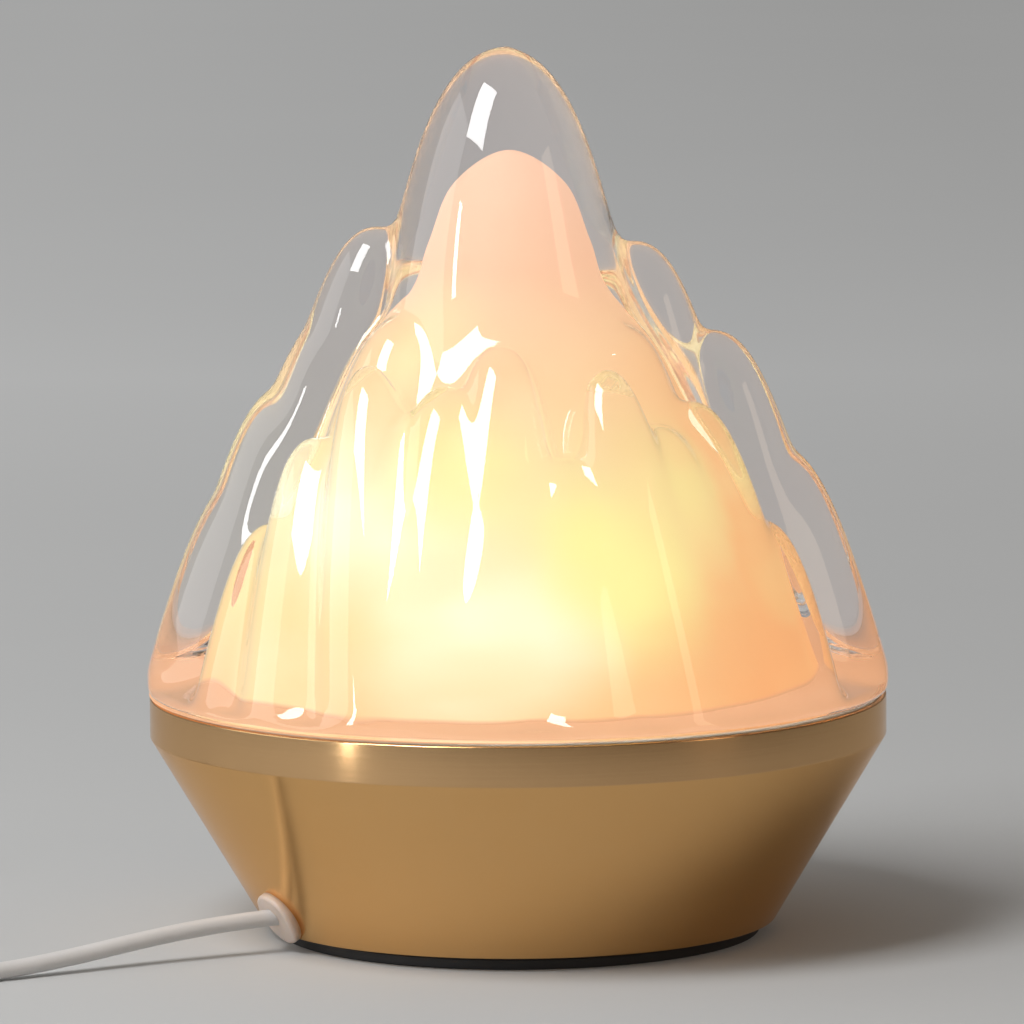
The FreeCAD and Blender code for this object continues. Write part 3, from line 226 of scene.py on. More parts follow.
def rounded_profile(corners, closed=True):
    """A profile from (radius, height, rounding) corners, in millimetres."""
    points = []
    n = len(corners)
    for k, (r, z, rounding) in enumerate(corners):
        if rounding <= 0 or (not closed and k in (0, n - 1)):
            points.append((r, z))
            continue
        before = corners[k - 1][:2]
        after = corners[(k + 1) % n][:2]
        points += round_corner(before, (r, z), after, rounding)
    return points


# Geometry Nodes trees


def new_tree(name, inputs):
    """A Geometry Nodes tree with its input and output nodes."""
    tree = bpy.data.node_groups.new(name, "GeometryNodeTree")
    face = tree.interface
    face.new_socket(name="Geometry", in_out="INPUT", socket_type="NodeSocketGeometry")
    for label, kind in inputs:
        face.new_socket(name=label, in_out="INPUT", socket_type=kind)
    face.new_socket(name="Geometry", in_out="OUTPUT", socket_type="NodeSocketGeometry")
    return tree, tree.nodes.new("NodeGroupInput"), tree.nodes.new("NodeGroupOutput")


def math_node(tree, operation, a, b=None):
    """A Math node's result from sockets or numbers."""
    node = tree.nodes.new("ShaderNodeMath")
    node.operation = operation
    for slot, value in ((0, a), (1, b)):
        if value is None:
            continue
        if isinstance(value, (int, float)):
            node.inputs[slot].default_value = value
        else:
            tree.links.new(value, node.inputs[slot])
    return node.outputs[0]


def end_tree(tree, geometry, group_in, group_out):
    """Realize Instances, soft and sharp edges, Set Material and the tree's output."""
    links = tree.links
    realize = tree.nodes.new("GeometryNodeRealizeInstances")
    weld = tree.nodes.new("GeometryNodeMergeByDistance")
    weld.inputs["Distance"].default_value = WELD
    soft = tree.nodes.new("GeometryNodeSetShadeSmooth")
    soft.domain = "FACE"
    soft.inputs["Shade Smooth"].default_value = True
    angle = tree.nodes.new("GeometryNodeInputMeshEdgeAngle")
    sharp = tree.nodes.new("GeometryNodeSetShadeSmooth")
    sharp.domain = "EDGE"
    sharp.inputs["Shade Smooth"].default_value = False
    paint = tree.nodes.new("GeometryNodeSetMaterial")
    links.new(geometry, realize.inputs[0])
    links.new(realize.outputs[0], weld.inputs["Geometry"])
    links.new(weld.outputs["Geometry"], soft.inputs[0])
    links.new(soft.outputs[0], sharp.inputs[0])
    is_sharp = math_node(
        tree, "GREATER_THAN", angle.outputs["Unsigned Angle"], math.radians(SHARP_ANGLE),
    )
    links.new(is_sharp, sharp.inputs["Selection"])
    links.new(sharp.outputs[0], paint.inputs["Geometry"])
    links.new(group_in.outputs["Material"], paint.inputs["Material"])
    links.new(paint.outputs["Geometry"], group_out.inputs["Geometry"])


def lathe_tree():
    """Turns a profile about Z: the profile's own points, in order, are carried round on a grid."""
    if "LampLathe" in bpy.data.node_groups:
        return bpy.data.node_groups["LampLathe"]
    tree, group_in, group_out = new_tree(
        "LampLathe", [("Segments", "NodeSocketInt"), ("Material", "NodeSocketMaterial")],
    )
    links = tree.links
    count = tree.nodes.new("GeometryNodeAttributeDomainSize")
    links.new(group_in.outputs["Geometry"], count.inputs["Geometry"])
    points = count.outputs["Point Count"]
    grid = tree.nodes.new("GeometryNodeMeshGrid")
    links.new(math_node(tree, "ADD", group_in.outputs["Segments"], 1), grid.inputs["Vertices X"])
    links.new(points, grid.inputs["Vertices Y"])
    index = tree.nodes.new("GeometryNodeInputIndex").outputs[0]
    column = math_node(tree, "FLOOR", math_node(tree, "DIVIDE", index, points))
    row = math_node(tree, "FLOORED_MODULO", index, points)
    sample = tree.nodes.new("GeometryNodeSampleIndex")
    sample.data_type = "FLOAT_VECTOR"
    sample.domain = "POINT"
    position = tree.nodes.new("GeometryNodeInputPosition").outputs[0]
    links.new(group_in.outputs["Geometry"], sample.inputs["Geometry"])
    links.new(position, sample.inputs["Value"])
    links.new(row, sample.inputs["Index"])
    share = math_node(tree, "DIVIDE", column, group_in.outputs["Segments"])
    angle = math_node(tree, "MULTIPLY", share, 2 * math.pi)
    turn = tree.nodes.new("ShaderNodeVectorRotate")
    turn.rotation_type = "Z_AXIS"
    links.new(sample.outputs["Value"], turn.inputs["Vector"])
    links.new(angle, turn.inputs["Angle"])
    place = tree.nodes.new("GeometryNodeSetPosition")
    links.new(grid.outputs["Mesh"], place.inputs["Geometry"])
    links.new(turn.outputs[0], place.inputs["Position"])
    end_tree(tree, place.outputs["Geometry"], group_in, group_out)
    return tree


def ring_tree():
    """Copies its geometry round Z: Count copies, Step apart, from Start."""
    if "LampRing" in bpy.data.node_groups:
        return bpy.data.node_groups["LampRing"]
    tree, group_in, group_out = new_tree(
        "LampRing",
        [
            ("Count", "NodeSocketInt"), ("Start", "NodeSocketFloat"), ("Step", "NodeSocketFloat"),
            ("Material", "NodeSocketMaterial"),
        ],
    )
    links = tree.links
    points = tree.nodes.new("GeometryNodePoints")
    links.new(group_in.outputs["Count"], points.inputs["Count"])
    index = tree.nodes.new("GeometryNodeInputIndex").outputs[0]
    turned = math_node(
        tree, "ADD", math_node(tree, "MULTIPLY", index, group_in.outputs["Step"]),
        group_in.outputs["Start"],
    )
    vector = tree.nodes.new("ShaderNodeCombineXYZ")
    links.new(turned, vector.inputs["Z"])
    copies = tree.nodes.new("GeometryNodeInstanceOnPoints")
    links.new(points.outputs[0], copies.inputs["Points"])
    links.new(group_in.outputs["Geometry"], copies.inputs["Instance"])
    links.new(vector.outputs[0], copies.inputs["Rotation"])
    end_tree(tree, copies.outputs[0], group_in, group_out)
    return tree


def run_tree(piece, tree, **values):
    """Puts a tree on a piece, sets its inputs and bakes the result into the mesh."""
    modifier = piece.modifiers.new(tree.name, "NODES")
    modifier.node_group = tree
    for item in tree.interface.items_tree:
        if item.item_type == "SOCKET" and item.in_out == "INPUT" and item.name in values:
            modifier[item.identifier] = values[item.name]
    return apply_modifiers(piece)


def turned_piece(name, profile, material, segments=96):
    """A turned piece from a closed profile of (radius, height) pairs in millimetres."""
    mesh = bpy.data.meshes.new(name)
    points = [(r * MM, 0.0, z * MM) for r, z in profile + profile[:1]]
    edges = [(k, k + 1) for k in range(len(points) - 1)]
    mesh.from_pydata(points, edges, [])
    return run_tree(link(name, mesh), lathe_tree(), Segments=segments, Material=material)


def stand_in(piece, body, slot, *nodes):
    """A piece rides on a body and stands for CAD nodes, which it hides. The slot is not used."""
    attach(piece, body)
    if nodes:
        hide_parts(*nodes)


def finished_copy(node, name, body, slot, material, bevel=0.0, sharp=30.0):
    """A CAD node's shape, welded, with soft curved faces and, if asked, narrow bevels."""
    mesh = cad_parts[node].data.copy()
    mesh.name = name
    mesh.materials.clear()
    mesh.materials.append(material)
    bm = bmesh.new()
    bm.from_mesh(mesh)
    bmesh.ops.remove_doubles(bm, verts=bm.verts, dist=COPY_WELD)
    bmesh.ops.dissolve_limit(
        bm, angle_limit=math.radians(FLAT_ANGLE), verts=bm.verts, edges=bm.edges,
    )
    bm.to_mesh(mesh)
    bm.free()
    mesh.polygons.foreach_set("use_smooth", [True] * len(mesh.polygons))
    mesh.set_sharp_from_angle(angle=math.radians(sharp))
    piece = link(name, mesh)
    if bevel:
        edge = piece.modifiers.new("Edge", "BEVEL")
        edge.width = bevel
        edge.segments = 2
        edge.limit_method = "ANGLE"
        edge.angle_limit = math.radians(sharp)
    stand_in(piece, body, slot, node)


# Shader groups and materials


def shader_group(name, inputs, outputs):
    """A shader group with its input and output nodes."""
    group = bpy.data.node_groups.new(name, "ShaderNodeTree")
    for label, kind, value in inputs:
        socket = group.interface.new_socket(name=label, in_out="INPUT", socket_type=kind)
        socket.default_value = value
    for label, kind in outputs:
        group.interface.new_socket(name=label, in_out="OUTPUT", socket_type=kind)
    return group, group.nodes.new("NodeGroupInput"), group.nodes.new("NodeGroupOutput")


def mottle_group():
    """Slow and fine variation of a surface: a mask from 0 to 1, and a height."""
    if "LampMottle" in bpy.data.node_groups:
        return bpy.data.node_groups["LampMottle"]
    group, gin, gout = shader_group(
        "LampMottle",
        [
            ("Vector", "NodeSocketVector", (0, 0, 0)), ("Broad", "NodeSocketFloat", 40.0),
            ("Fine", "NodeSocketFloat", 900.0),
        ],
        [("Mask", "NodeSocketFloat"), ("Height", "NodeSocketFloat")],
    )
    broad = group.nodes.new("ShaderNodeTexNoise")
    broad.inputs["Detail"].default_value = 4
    fine = group.nodes.new("ShaderNodeTexNoise")
    fine.inputs["Detail"].default_value = 3
    for node, scale in ((broad, "Broad"), (fine, "Fine")):
        group.links.new(gin.outputs["Vector"], node.inputs["Vector"])
        group.links.new(gin.outputs[scale], node.inputs["Scale"])
    mix = group.nodes.new("ShaderNodeMath")
    mix.operation = "MULTIPLY_ADD"
    group.links.new(fine.outputs["Fac"], mix.inputs[0])
    mix.inputs[1].default_value = 0.35
    group.links.new(broad.outputs["Fac"], mix.inputs[2])
    spread = map_value(group, mix.outputs[0], 0.0, 1.0, 0.45, 0.9)
    group.links.new(spread, gout.inputs["Mask"])
    group.links.new(fine.outputs["Fac"], gout.inputs["Height"])
    return group


LINE_TURN = 0.0009   # how little the spun lines change round the axis
LINE_RADIUS = 0.45   # how much the radius counts in them beside the height


def spun_group():
    """Lines left by spinning and brushing: noise stretched round the axis, as a mask and a height."""
    if "LampSpunLines" in bpy.data.node_groups:
        return bpy.data.node_groups["LampSpunLines"]
    group, gin, gout = shader_group(
        "LampSpunLines",
        [
            ("Vector", "NodeSocketVector", (0, 0, 0)), ("Lines", "NodeSocketFloat", 2200.0),
            ("Bands", "NodeSocketFloat", 160.0),
        ],
        [("Mask", "NodeSocketFloat"), ("Height", "NodeSocketFloat")],
    )
    split = group.nodes.new("ShaderNodeSeparateXYZ")
    group.links.new(gin.outputs["Vector"], split.inputs[0])
    x, y = split.outputs["X"], split.outputs["Y"]
    angle = math_node(group, "ARCTAN2", y, x)
    slow = math_node(group, "MULTIPLY", angle, LINE_TURN)
    squares = math_node(
        group, "ADD", math_node(group, "MULTIPLY", x, x), math_node(group, "MULTIPLY", y, y),
    )
    radius = math_node(group, "MULTIPLY", math_node(group, "SQRT", squares), LINE_RADIUS)
    along = group.nodes.new("ShaderNodeCombineXYZ")
    group.links.new(slow, along.inputs["X"])
    group.links.new(radius, along.inputs["Y"])
    group.links.new(split.outputs["Z"], along.inputs["Z"])
    noises = []
    for scale in ("Lines", "Bands"):
        noise = group.nodes.new("ShaderNodeTexNoise")
        noise.inputs["Detail"].default_value = 3
        group.links.new(along.outputs[0], noise.inputs["Vector"])
        group.links.new(gin.outputs[scale], noise.inputs["Scale"])
        noises.append(noise.outputs["Fac"])
    both = math_node(
        group, "ADD", math_node(group, "MULTIPLY", noises[0], 0.6),
        math_node(group, "MULTIPLY", noises[1], 0.4),
    )
    group.links.new(map_value(group, both, 0.0, 1.0, 0.35, 0.65), gout.inputs["Mask"])
    group.links.new(noises[0], gout.inputs["Height"])
    return group


def new_material(name, **values):
    """A material, its tree and its Principled shader, which takes the values."""
    material = bpy.data.materials.new(name)
    material.use_nodes = True
    shader = material.node_tree.nodes["Principled BSDF"]
    for key, value in values.items():
        shader.inputs[key.replace("_", " ")].default_value = value
    return material, material.node_tree, shader


def object_coordinates(tree):
    return tree.nodes.new("ShaderNodeTexCoord").outputs["Object"]


def add_group(tree, group, **values):
    """A shader group in a material, read in the piece's own coordinates."""
    node = tree.nodes.new("ShaderNodeGroup")
    node.node_tree = group
    tree.links.new(object_coordinates(tree), node.inputs["Vector"])
    for key, value in values.items():
        node.inputs[key].default_value = value
    return node


def blend_colours(tree, mask, low, high):
    """A colour between two others, by a mask."""
    mix = tree.nodes.new("ShaderNodeMix")
    mix.data_type = "RGBA"
    tree.links.new(mask, mix.inputs["Factor"])
    for socket, value in ((mix.inputs[6], low), (mix.inputs[7], high)):
        if isinstance(value, tuple):
            socket.default_value = value
        else:
            tree.links.new(value, socket)
    return mix.outputs[2]


def map_value(tree, value, low, high, from_low=0.0, from_high=1.0, smooth=False):
    """A value carried from one range over to another."""
    node = tree.nodes.new("ShaderNodeMapRange")
    if smooth:
        node.interpolation_type = "SMOOTHSTEP"
    tree.links.new(value, node.inputs["Value"])
    for key, number in (
        ("From Min", from_low), ("From Max", from_high), ("To Min", low), ("To Max", high),
    ):
        node.inputs[key].default_value = number
    return node.outputs[0]


def add_bump(tree, shader, height, distance, strength=1.0):
    bump = tree.nodes.new("ShaderNodeBump")
    bump.inputs["Strength"].default_value = strength
    bump.inputs["Distance"].default_value = distance
    tree.links.new(height, bump.inputs["Height"])
    tree.links.new(bump.outputs["Normal"], shader.inputs["Normal"])


def shade(colour, factor):
    """A colour made lighter or darker."""
    return tuple(c * factor for c in colour[:3]) + (1.0,)


def moulded(name, colour, roughness, fine=1400.0, depth=0.004, spread=0.06, **values):
    """A moulded, painted or coated surface with fine grain and slight clouding."""
    material, tree, shader = new_material(name, **values)
    group = add_group(tree, mottle_group(), Broad=55.0, Fine=fine)
    tree.links.new(
        blend_colours(
            tree, group.outputs["Mask"], shade(colour, 1 - spread), shade(colour, 1 + spread),
        ),
        shader.inputs["Base Color"],
    )
    tree.links.new(
        map_value(tree, group.outputs["Mask"], roughness - 0.05, roughness + 0.06),
        shader.inputs["Roughness"],
    )
    add_bump(tree, shader, group.outputs["Height"], depth * MM)
    return material


def plated(name, colour, roughness, lines=1600.0):
    """A turned or rolled metal with fine lines round its axis."""
    material, tree, shader = new_material(name, Metallic=1.0)
    group = add_group(tree, spun_group(), Lines=lines, Bands=220.0)
    tree.links.new(
        blend_colours(tree, group.outputs["Mask"], shade(colour, 0.93), shade(colour, 1.03)),
        shader.inputs["Base Color"],
    )
    tree.links.new(
        map_value(tree, group.outputs["Mask"], roughness - 0.06, roughness + 0.07),
        shader.inputs["Roughness"],
    )
    add_bump(tree, shader, group.outputs["Height"], 0.002 * MM)
    return material


GLASS_IOR = 1.17   # under that of real glass, so that the clear lobes stay as clear as on the lamp
COAT_IOR = 1.55    # gives the skin the reflections of real glass


def make_clear_glass(glass):
    """Clear glass with a trace of tint."""
    material, tree, shader = new_material(
        "clear_glass", Roughness=0.0, IOR=GLASS_IOR, Metallic=0.0, Transmission_Weight=1.0,
        Coat_Weight=1.0, Coat_Roughness=0.0, Coat_IOR=COAT_IOR,
    )
    group = add_group(tree, mottle_group(), Broad=22.0, Fine=60.0)
    low = tuple(glass.tint)
    tree.links.new(
        blend_colours(tree, group.outputs["Mask"], low, shade(low, 1.004)), shader.inputs["Base Color"],
    )
    return material


def soft_spot(tree, position, centre, reach):
    """A round soft spot of light about a point: 1 in the middle, 0 at its reach."""
    away = tree.nodes.new("ShaderNodeVectorMath")
    away.operation = "DISTANCE"
    tree.links.new(position, away.inputs[0])
    away.inputs[1].default_value = centre
    return map_value(tree, away.outputs["Value"], 1.0, 0.0, 0.0, reach, smooth=True)


GLOW_HEIGHT = 0.173    # height of the hollow, over which the glow's colours change
# The painted glow's colours from the foot to the crown of the hollow
GLOW_STOPS = [
    (0.0, (1.0, 0.6, 0.27, 1)),
    (0.16, (1.0, 0.74, 0.31, 1)),
    (0.38, (1.0, 0.84, 0.4, 1)),
    (0.58, (1.0, 0.68, 0.36, 1)),
    (0.8, (1.0, 0.59, 0.38, 1)),
    (1.0, (1.0, 0.62, 0.44, 1)),
]
AMBER = (0.99, 0.43, 0.17, 1)
FOOT_GLOW = (0.8, 0.4, 0.21, 1)
WHITE = (1.12, 1.06, 0.72, 1)
LEMON = (1.05, 0.98, 0.36, 1)
STRAW = (1.0, 0.82, 0.42, 1)
# Painted hot spots of light on the satin face in front of the bulb: middle, reach and colour
GLOW_SPOTS = [
    ((-0.03, -0.023, 0.191), 0.032, STRAW),
    ((0.049, -0.041, 0.146), 0.034, (1.0, 0.8, 0.33, 1)),
    ((-0.072, -0.048, 0.085), 0.045, STRAW),
    ((-0.054, -0.04, 0.139), 0.04, WHITE),
    ((-0.036, -0.058, 0.133), 0.034, WHITE),
    ((-0.02, -0.056, 0.152), 0.032, LEMON),
    ((-0.016, -0.078, 0.108), 0.05, WHITE),
    ((0.012, -0.078, 0.11), 0.034, WHITE),
    ((0.036, -0.066, 0.118), 0.034, LEMON),
    ((0.024, -0.07, 0.132), 0.034, LEMON),
    ((0.045, 0.055, 0.125), 0.055, WHITE),
    ((-0.045, 0.055, 0.125), 0.055, WHITE),
]


def glow_ramp(tree, height):
    """The glow's colour at each height."""
    ramp = tree.nodes.new("ShaderNodeValToRGB")
    tree.links.new(height, ramp.inputs["Fac"])
    ends = ramp.color_ramp.elements
    ends[0].position, ends[0].color = GLOW_STOPS[0]
    ends[1].position, ends[1].color = GLOW_STOPS[-1]
    for place, colour in GLOW_STOPS[1:-1]:
        ramp.color_ramp.elements.new(place).color = colour
    return ramp.outputs["Color"]


def glow_clouds(tree, position):
    """Slow slanting clouds in the glow, from 0 to 1."""
    clouds = tree.nodes.new("ShaderNodeTexNoise")
    clouds.inputs["Scale"].default_value = 22.0
    clouds.inputs["Detail"].default_value = 2.0
    stretch = tree.nodes.new("ShaderNodeMapping")
    stretch.inputs["Rotation"].default_value = (0.0, 0.6, 0.0)
    stretch.inputs["Scale"].default_value = (0.5, 1.0, 1.6)
    tree.links.new(position, stretch.inputs["Vector"])
    tree.links.new(stretch.outputs[0], clouds.inputs["Vector"])
    return map_value(tree, clouds.outputs["Fac"], 0.0, 1.0, 0.35, 0.65, smooth=True)


def make_satin_lining(glass):
    """The satin face of the hollow, with the bulb's light on it painted as glow: pale near the bulb,
    peach above, amber at the right.
    """
    material, tree, shader = new_material("satin_lining", Roughness=0.7)
    shader.inputs["Base Color"].default_value = (0.2, 0.15, 0.1, 1)
    position = object_coordinates(tree)
    split = tree.nodes.new("ShaderNodeSeparateXYZ")
    tree.links.new(position, split.inputs[0])
    height = map_value(tree, split.outputs["Z"], 0.0, 1.0, SEAT, SEAT + GLOW_HEIGHT)
    glow = glow_ramp(tree, height)
    cloud = glow_clouds(tree, position)
    # Painted light: the glow turns amber towards the right side
    amber = map_value(tree, split.outputs["X"], 0.0, 0.85, 0.012, 0.078, smooth=True)
    amber = math_node(tree, "MULTIPLY", amber, map_value(tree, cloud, 1.0, 0.7))
    colour = blend_colours(tree, amber, glow, AMBER)
    for centre, reach, tone in GLOW_SPOTS:
        hot = soft_spot(tree, position, centre, reach)
        hot = math_node(tree, "MULTIPLY", hot, map_value(tree, cloud, 0.62, 1.0))
        colour = blend_colours(tree, hot, colour, tone)
    # Painted light: the layer's lower face at the foot glows a darker orange
    underside = map_value(tree, split.outputs["Z"], 1.0, 0.0, SEAT + 0.5 * MM, SEAT + 2.0 * MM)
    colour = blend_colours(tree, underside, colour, FOOT_GLOW)
    tree.links.new(colour, shader.inputs["Emission Color"])
    shader.inputs["Emission Strength"].default_value = glass.glow
    fine = tree.nodes.new("ShaderNodeTexNoise")
    fine.inputs["Scale"].default_value = 700.0
    tree.links.new(position, fine.inputs["Vector"])
    add_bump(tree, shader, fine.outputs["Fac"], 0.01 * MM)
    return material


BAND_BRASS = (0.67, 0.415, 0.2, 1)
CREASE_BLUR = 0.2 * MM     # over which the satin cone turns into the smoother band


def make_spun_brass(bowl):
    """Satin spun brass, brushed round the bowl, with a brighter, smoother band."""
    material, tree, shader = new_material(
        "spun_brass", Metallic=1.0, Specular_Tint=(1.0, 0.88, 0.76, 1), Anisotropic=0.75,
        Anisotropic_Rotation=0.25,
    )
    tangent = tree.nodes.new("ShaderNodeTangent")
    tangent.direction_type = "RADIAL"
    tangent.axis = "Z"
    tree.links.new(tangent.outputs[0], shader.inputs["Tangent"])
    lines = add_group(tree, spun_group(), Lines=2400.0, Bands=140.0)
    clouds = add_group(tree, mottle_group(), Broad=18.0, Fine=120.0)
    split = tree.nodes.new("ShaderNodeSeparateXYZ")
    tree.links.new(object_coordinates(tree), split.inputs[0])
    crease = BOWL_TOP - bowl.band
    on_band = map_value(
        tree, split.outputs["Z"], 0.0, 1.0, crease - CREASE_BLUR, crease + CREASE_BLUR,
    )
    brass = tuple(bowl.brass)
    clouded = shade((brass[0], brass[1] * 0.94, brass[2] * 0.82), 0.97)
    colour = blend_colours(tree, lines.outputs["Mask"], shade(brass, 0.985), shade(brass, 1.01))
    cloud = map_value(tree, clouds.outputs["Mask"], 0.0, 0.35)
    colour = blend_colours(tree, cloud, colour, clouded)
    colour = blend_colours(tree, on_band, colour, BAND_BRASS)
    tree.links.new(colour, shader.inputs["Base Color"])
    satin = map_value(tree, lines.outputs["Mask"], 0.2, 0.25)
    polished = map_value(tree, lines.outputs["Mask"], 0.16, 0.22)
    mix = tree.nodes.new("ShaderNodeMix")
    tree.links.new(on_band, mix.inputs["Factor"])
    tree.links.new(satin, mix.inputs[2])
    tree.links.new(polished, mix.inputs[3])
    tree.links.new(mix.outputs[0], shader.inputs["Roughness"])
    add_bump(tree, shader, lines.outputs["Height"], 0.001 * MM, 0.5)
    return material


def make_opal_bulb():
    """Lit opal glass."""
    material, tree, shader = new_material("opal_bulb", Roughness=0.12)
    group = add_group(tree, mottle_group(), Broad=30.0, Fine=500.0)
    tree.links.new(
        blend_colours(tree, group.outputs["Mask"], (0.9, 0.86, 0.78, 1), (0.95, 0.92, 0.86, 1)),
        shader.inputs["Base Color"],
    )
    tree.links.new(
        blend_colours(tree, group.outputs["Mask"], (1.0, 0.8, 0.52, 1), (1.0, 0.86, 0.6, 1)),
        shader.inputs["Emission Color"],
    )
    shader.inputs["Emission Strength"].default_value = 1.3
    return material


MATERIALS = {}


def make_materials(scene):
    glass, bowl, cord = scene.lamp_glass, scene.lamp_bowl, scene.lamp_cord
    MATERIALS.update(
        clear_glass=make_clear_glass(glass),
        satin_lining=make_satin_lining(glass),
        brushed_brass=make_spun_brass(bowl),
        felt=moulded("pale_felt", (0.8, 0.76, 0.68), 0.9, fine=2500.0, depth=0.05),
        black_rubber=moulded("black_rubber", (0.018, 0.018, 0.019), 0.62, depth=0.01),
        black_steel=moulded("black_paint", (0.03, 0.03, 0.032), 0.45, fine=2400.0, depth=0.006),
        zinc_steel=plated("zinc_steel", (0.6, 0.61, 0.62), 0.34),
        white_phenolic=moulded("white_phenolic", (0.78, 0.77, 0.73), 0.34, depth=0.002),
        ceramic=moulded("steatite", (0.74, 0.71, 0.65), 0.7, fine=1800.0, depth=0.012),
        contact_brass=plated("contact_brass", (0.83, 0.62, 0.3), 0.28),
        white_cord=moulded(
            "cord_sheath", tuple(cord.sheath), 0.42, fine=1700.0, depth=0.006, spread=0.04,
        ),
        brown_wire=moulded("brown_wire", (0.2, 0.09, 0.04), 0.35),
        blue_wire=moulded("blue_wire", (0.04, 0.14, 0.42), 0.35),
        white_plastic=moulded("white_moulding", (0.76, 0.76, 0.74), 0.4, fine=2600.0, depth=0.008),
        # Milky plastic; its warm tone is painted light, the brass's warm glow falling on it
        grommet_plastic=moulded(
            "milky_grommet", (0.68, 0.56, 0.48), 0.35, depth=0.003, Subsurface_Weight=0.6,
            Subsurface_Radius=(0.004, 0.003, 0.002),
        ),
        bulb_glass=make_opal_bulb(),
        bulb_cap=plated("rolled_aluminium", (0.75, 0.75, 0.74), 0.25),
        black_glaze=moulded("black_glaze", (0.02, 0.018, 0.02), 0.15, depth=0.002),
        filament=moulded(
            "lit_filament", (0.9, 0.6, 0.3), 0.5, Emission_Color=(1.0, 0.7, 0.35, 1),
            Emission_Strength=4.0,
        ),
        nickel=plated("nickel", (0.7, 0.68, 0.63), 0.22),
    )


# The glass mountain

# The main peak: the top's x, y and height, a width and the power with which it widens downwards
PEAK = (-3.5, 0.0, 208.5, 7.8, 0.375)
# Ridges: the top's x, y and height, the foot's x and y, and a width. First the front and the sides
RIDGES = [
    (-45, -2, 151, -74, -4, 6.0),
    (-37, -27, 124, -60, -50, 5.8),
    (-60, -6, 119, -82, -8, 6.0),
    (-75, -6, 99, -93, -8, 5.8),
    (-89, -4, 66, -101, -5, 6.0),
    (-78, -38, 60, -86, -54, 5.4),
    (-64, -44, 88, -68, -74, 5.4),
    (-46, -52, 112, -43, -91, 5.2),
    (-23, -60, 106, -29, -96, 5.2),
    (-5, -56, 119, -6, -92, 5.7),
    (-4, -78, 70, -17, -98, 5.7),
    (14, -72, 84, 22, -98, 5.2),
    (27, -60, 112, 47, -88, 5.2),
    (45, -55, 92, 62, -76, 5.2),
    (64, -4, 117, 87, -8, 6.0),
    (56, -38, 98, 74, -64, 5.6),
    (85, -4, 78, 100, -5, 6.0),
    (78, -40, 60, 86, -54, 5.4),
    (39, -4, 146, 64, -8, 6.0),
    (34, -30, 121, 50, -58, 5.8),
    # Then the back
    (-20, 36, 132, -30, 66, 5.6),
    (16, 38, 126, 26, 68, 5.6),
    (-36, 50, 104, -46, 82, 5.4),
    (-2, 58, 112, -2, 92, 5.6),
    (36, 52, 100, 46, 82, 5.4),
    (-20, 74, 82, -24, 98, 5.4),
    (20, 74, 78, 26, 98, 5.4),
    (-46, 64, 66, -54, 86, 5.4),
    (48, 64, 62, 56, 84, 5.4),
    (0, 88, 56, 0, 102, 5.2),
]
RIDGE_POWER = 0.3    # how fast a ridge widens below its top
ABOVE_RIDGE = 1.5    # how fast the field rises above a ridge's top
BODY_TOP = 185.0     # height at which the plain body between the ridges ends
BODY_WIDTH = 1.7
BODY_POWER = 0.78
ABOVE_BODY = 1.2
FLARE = 30.0         # how far the body flares at the foot
FLARE_H = 7.0        # height over which the flare fades
FOOT_R = 119.75
FAN_X = -2.0         # where the rays that find the skin start
FAN_REACH = 420.0    # their length
HALVINGS = 36        # steps that close in on the skin
SMOOTHING = 3        # passes that even out the steps beside steep ridges
FOOT_RINGS = 5       # rings of the rounded foot, which stay as they are
# Outline of the hollow: radius and height
HOLLOW = [(87.5, 0), (81.5, 22), (67.5, 60), (47, 102), (28, 126), (22, 144), (15, 163), (0, 173.5)]
HOLLOW_X = -2.0
HOLLOW_POINTS = 30   # points of the hollow's outline in the glass
LINING_POINTS = 72   # points of the lining's outline
LINING_INSIDE = 0.6  # how far the lining stands inside the hollow
LINING_INSET = 2.6   # from the glass foot in to the lining's edge
LINING_UNDER = 0.05  # height of the lining's lower face
LINING_OVER = 0.3    # height of its upper face at the foot


def ridge_field(x, y, z, blend, cap):
    """Below zero inside the mountain's skin, above zero outside, about in millimetres."""
    total = np.zeros_like(x)

    def add(value):
        total[...] += np.exp(-np.clip(value / blend, -60, 60))

    def add_ridge(away, top, width, power):
        depth = np.maximum(top - z, 0.0)
        reach = width * (depth * depth / (depth + cap)) ** power
        add(away - reach + ABOVE_RIDGE * np.maximum(z - top, 0.0))

    px, py, top, width, power = PEAK
    add_ridge(np.hypot(x - px, y - py), top, width, power)
    for tx, ty, top, fx, fy, width in RIDGES:
        share = np.maximum(top - z, 0.0) / top
        away = np.hypot(x - tx - (fx - tx) * share, y - ty - (fy - ty) * share)
        add_ridge(away, top, width, RIDGE_POWER)
    depth = np.maximum(BODY_TOP - z, 0.0)
    body = BODY_WIDTH * depth**BODY_POWER + FLARE * np.exp(-z / FLARE_H)
    add(np.hypot(x, y) - body + ABOVE_BODY * np.maximum(z - BODY_TOP, 0.0))
    return -blend * np.log(total)


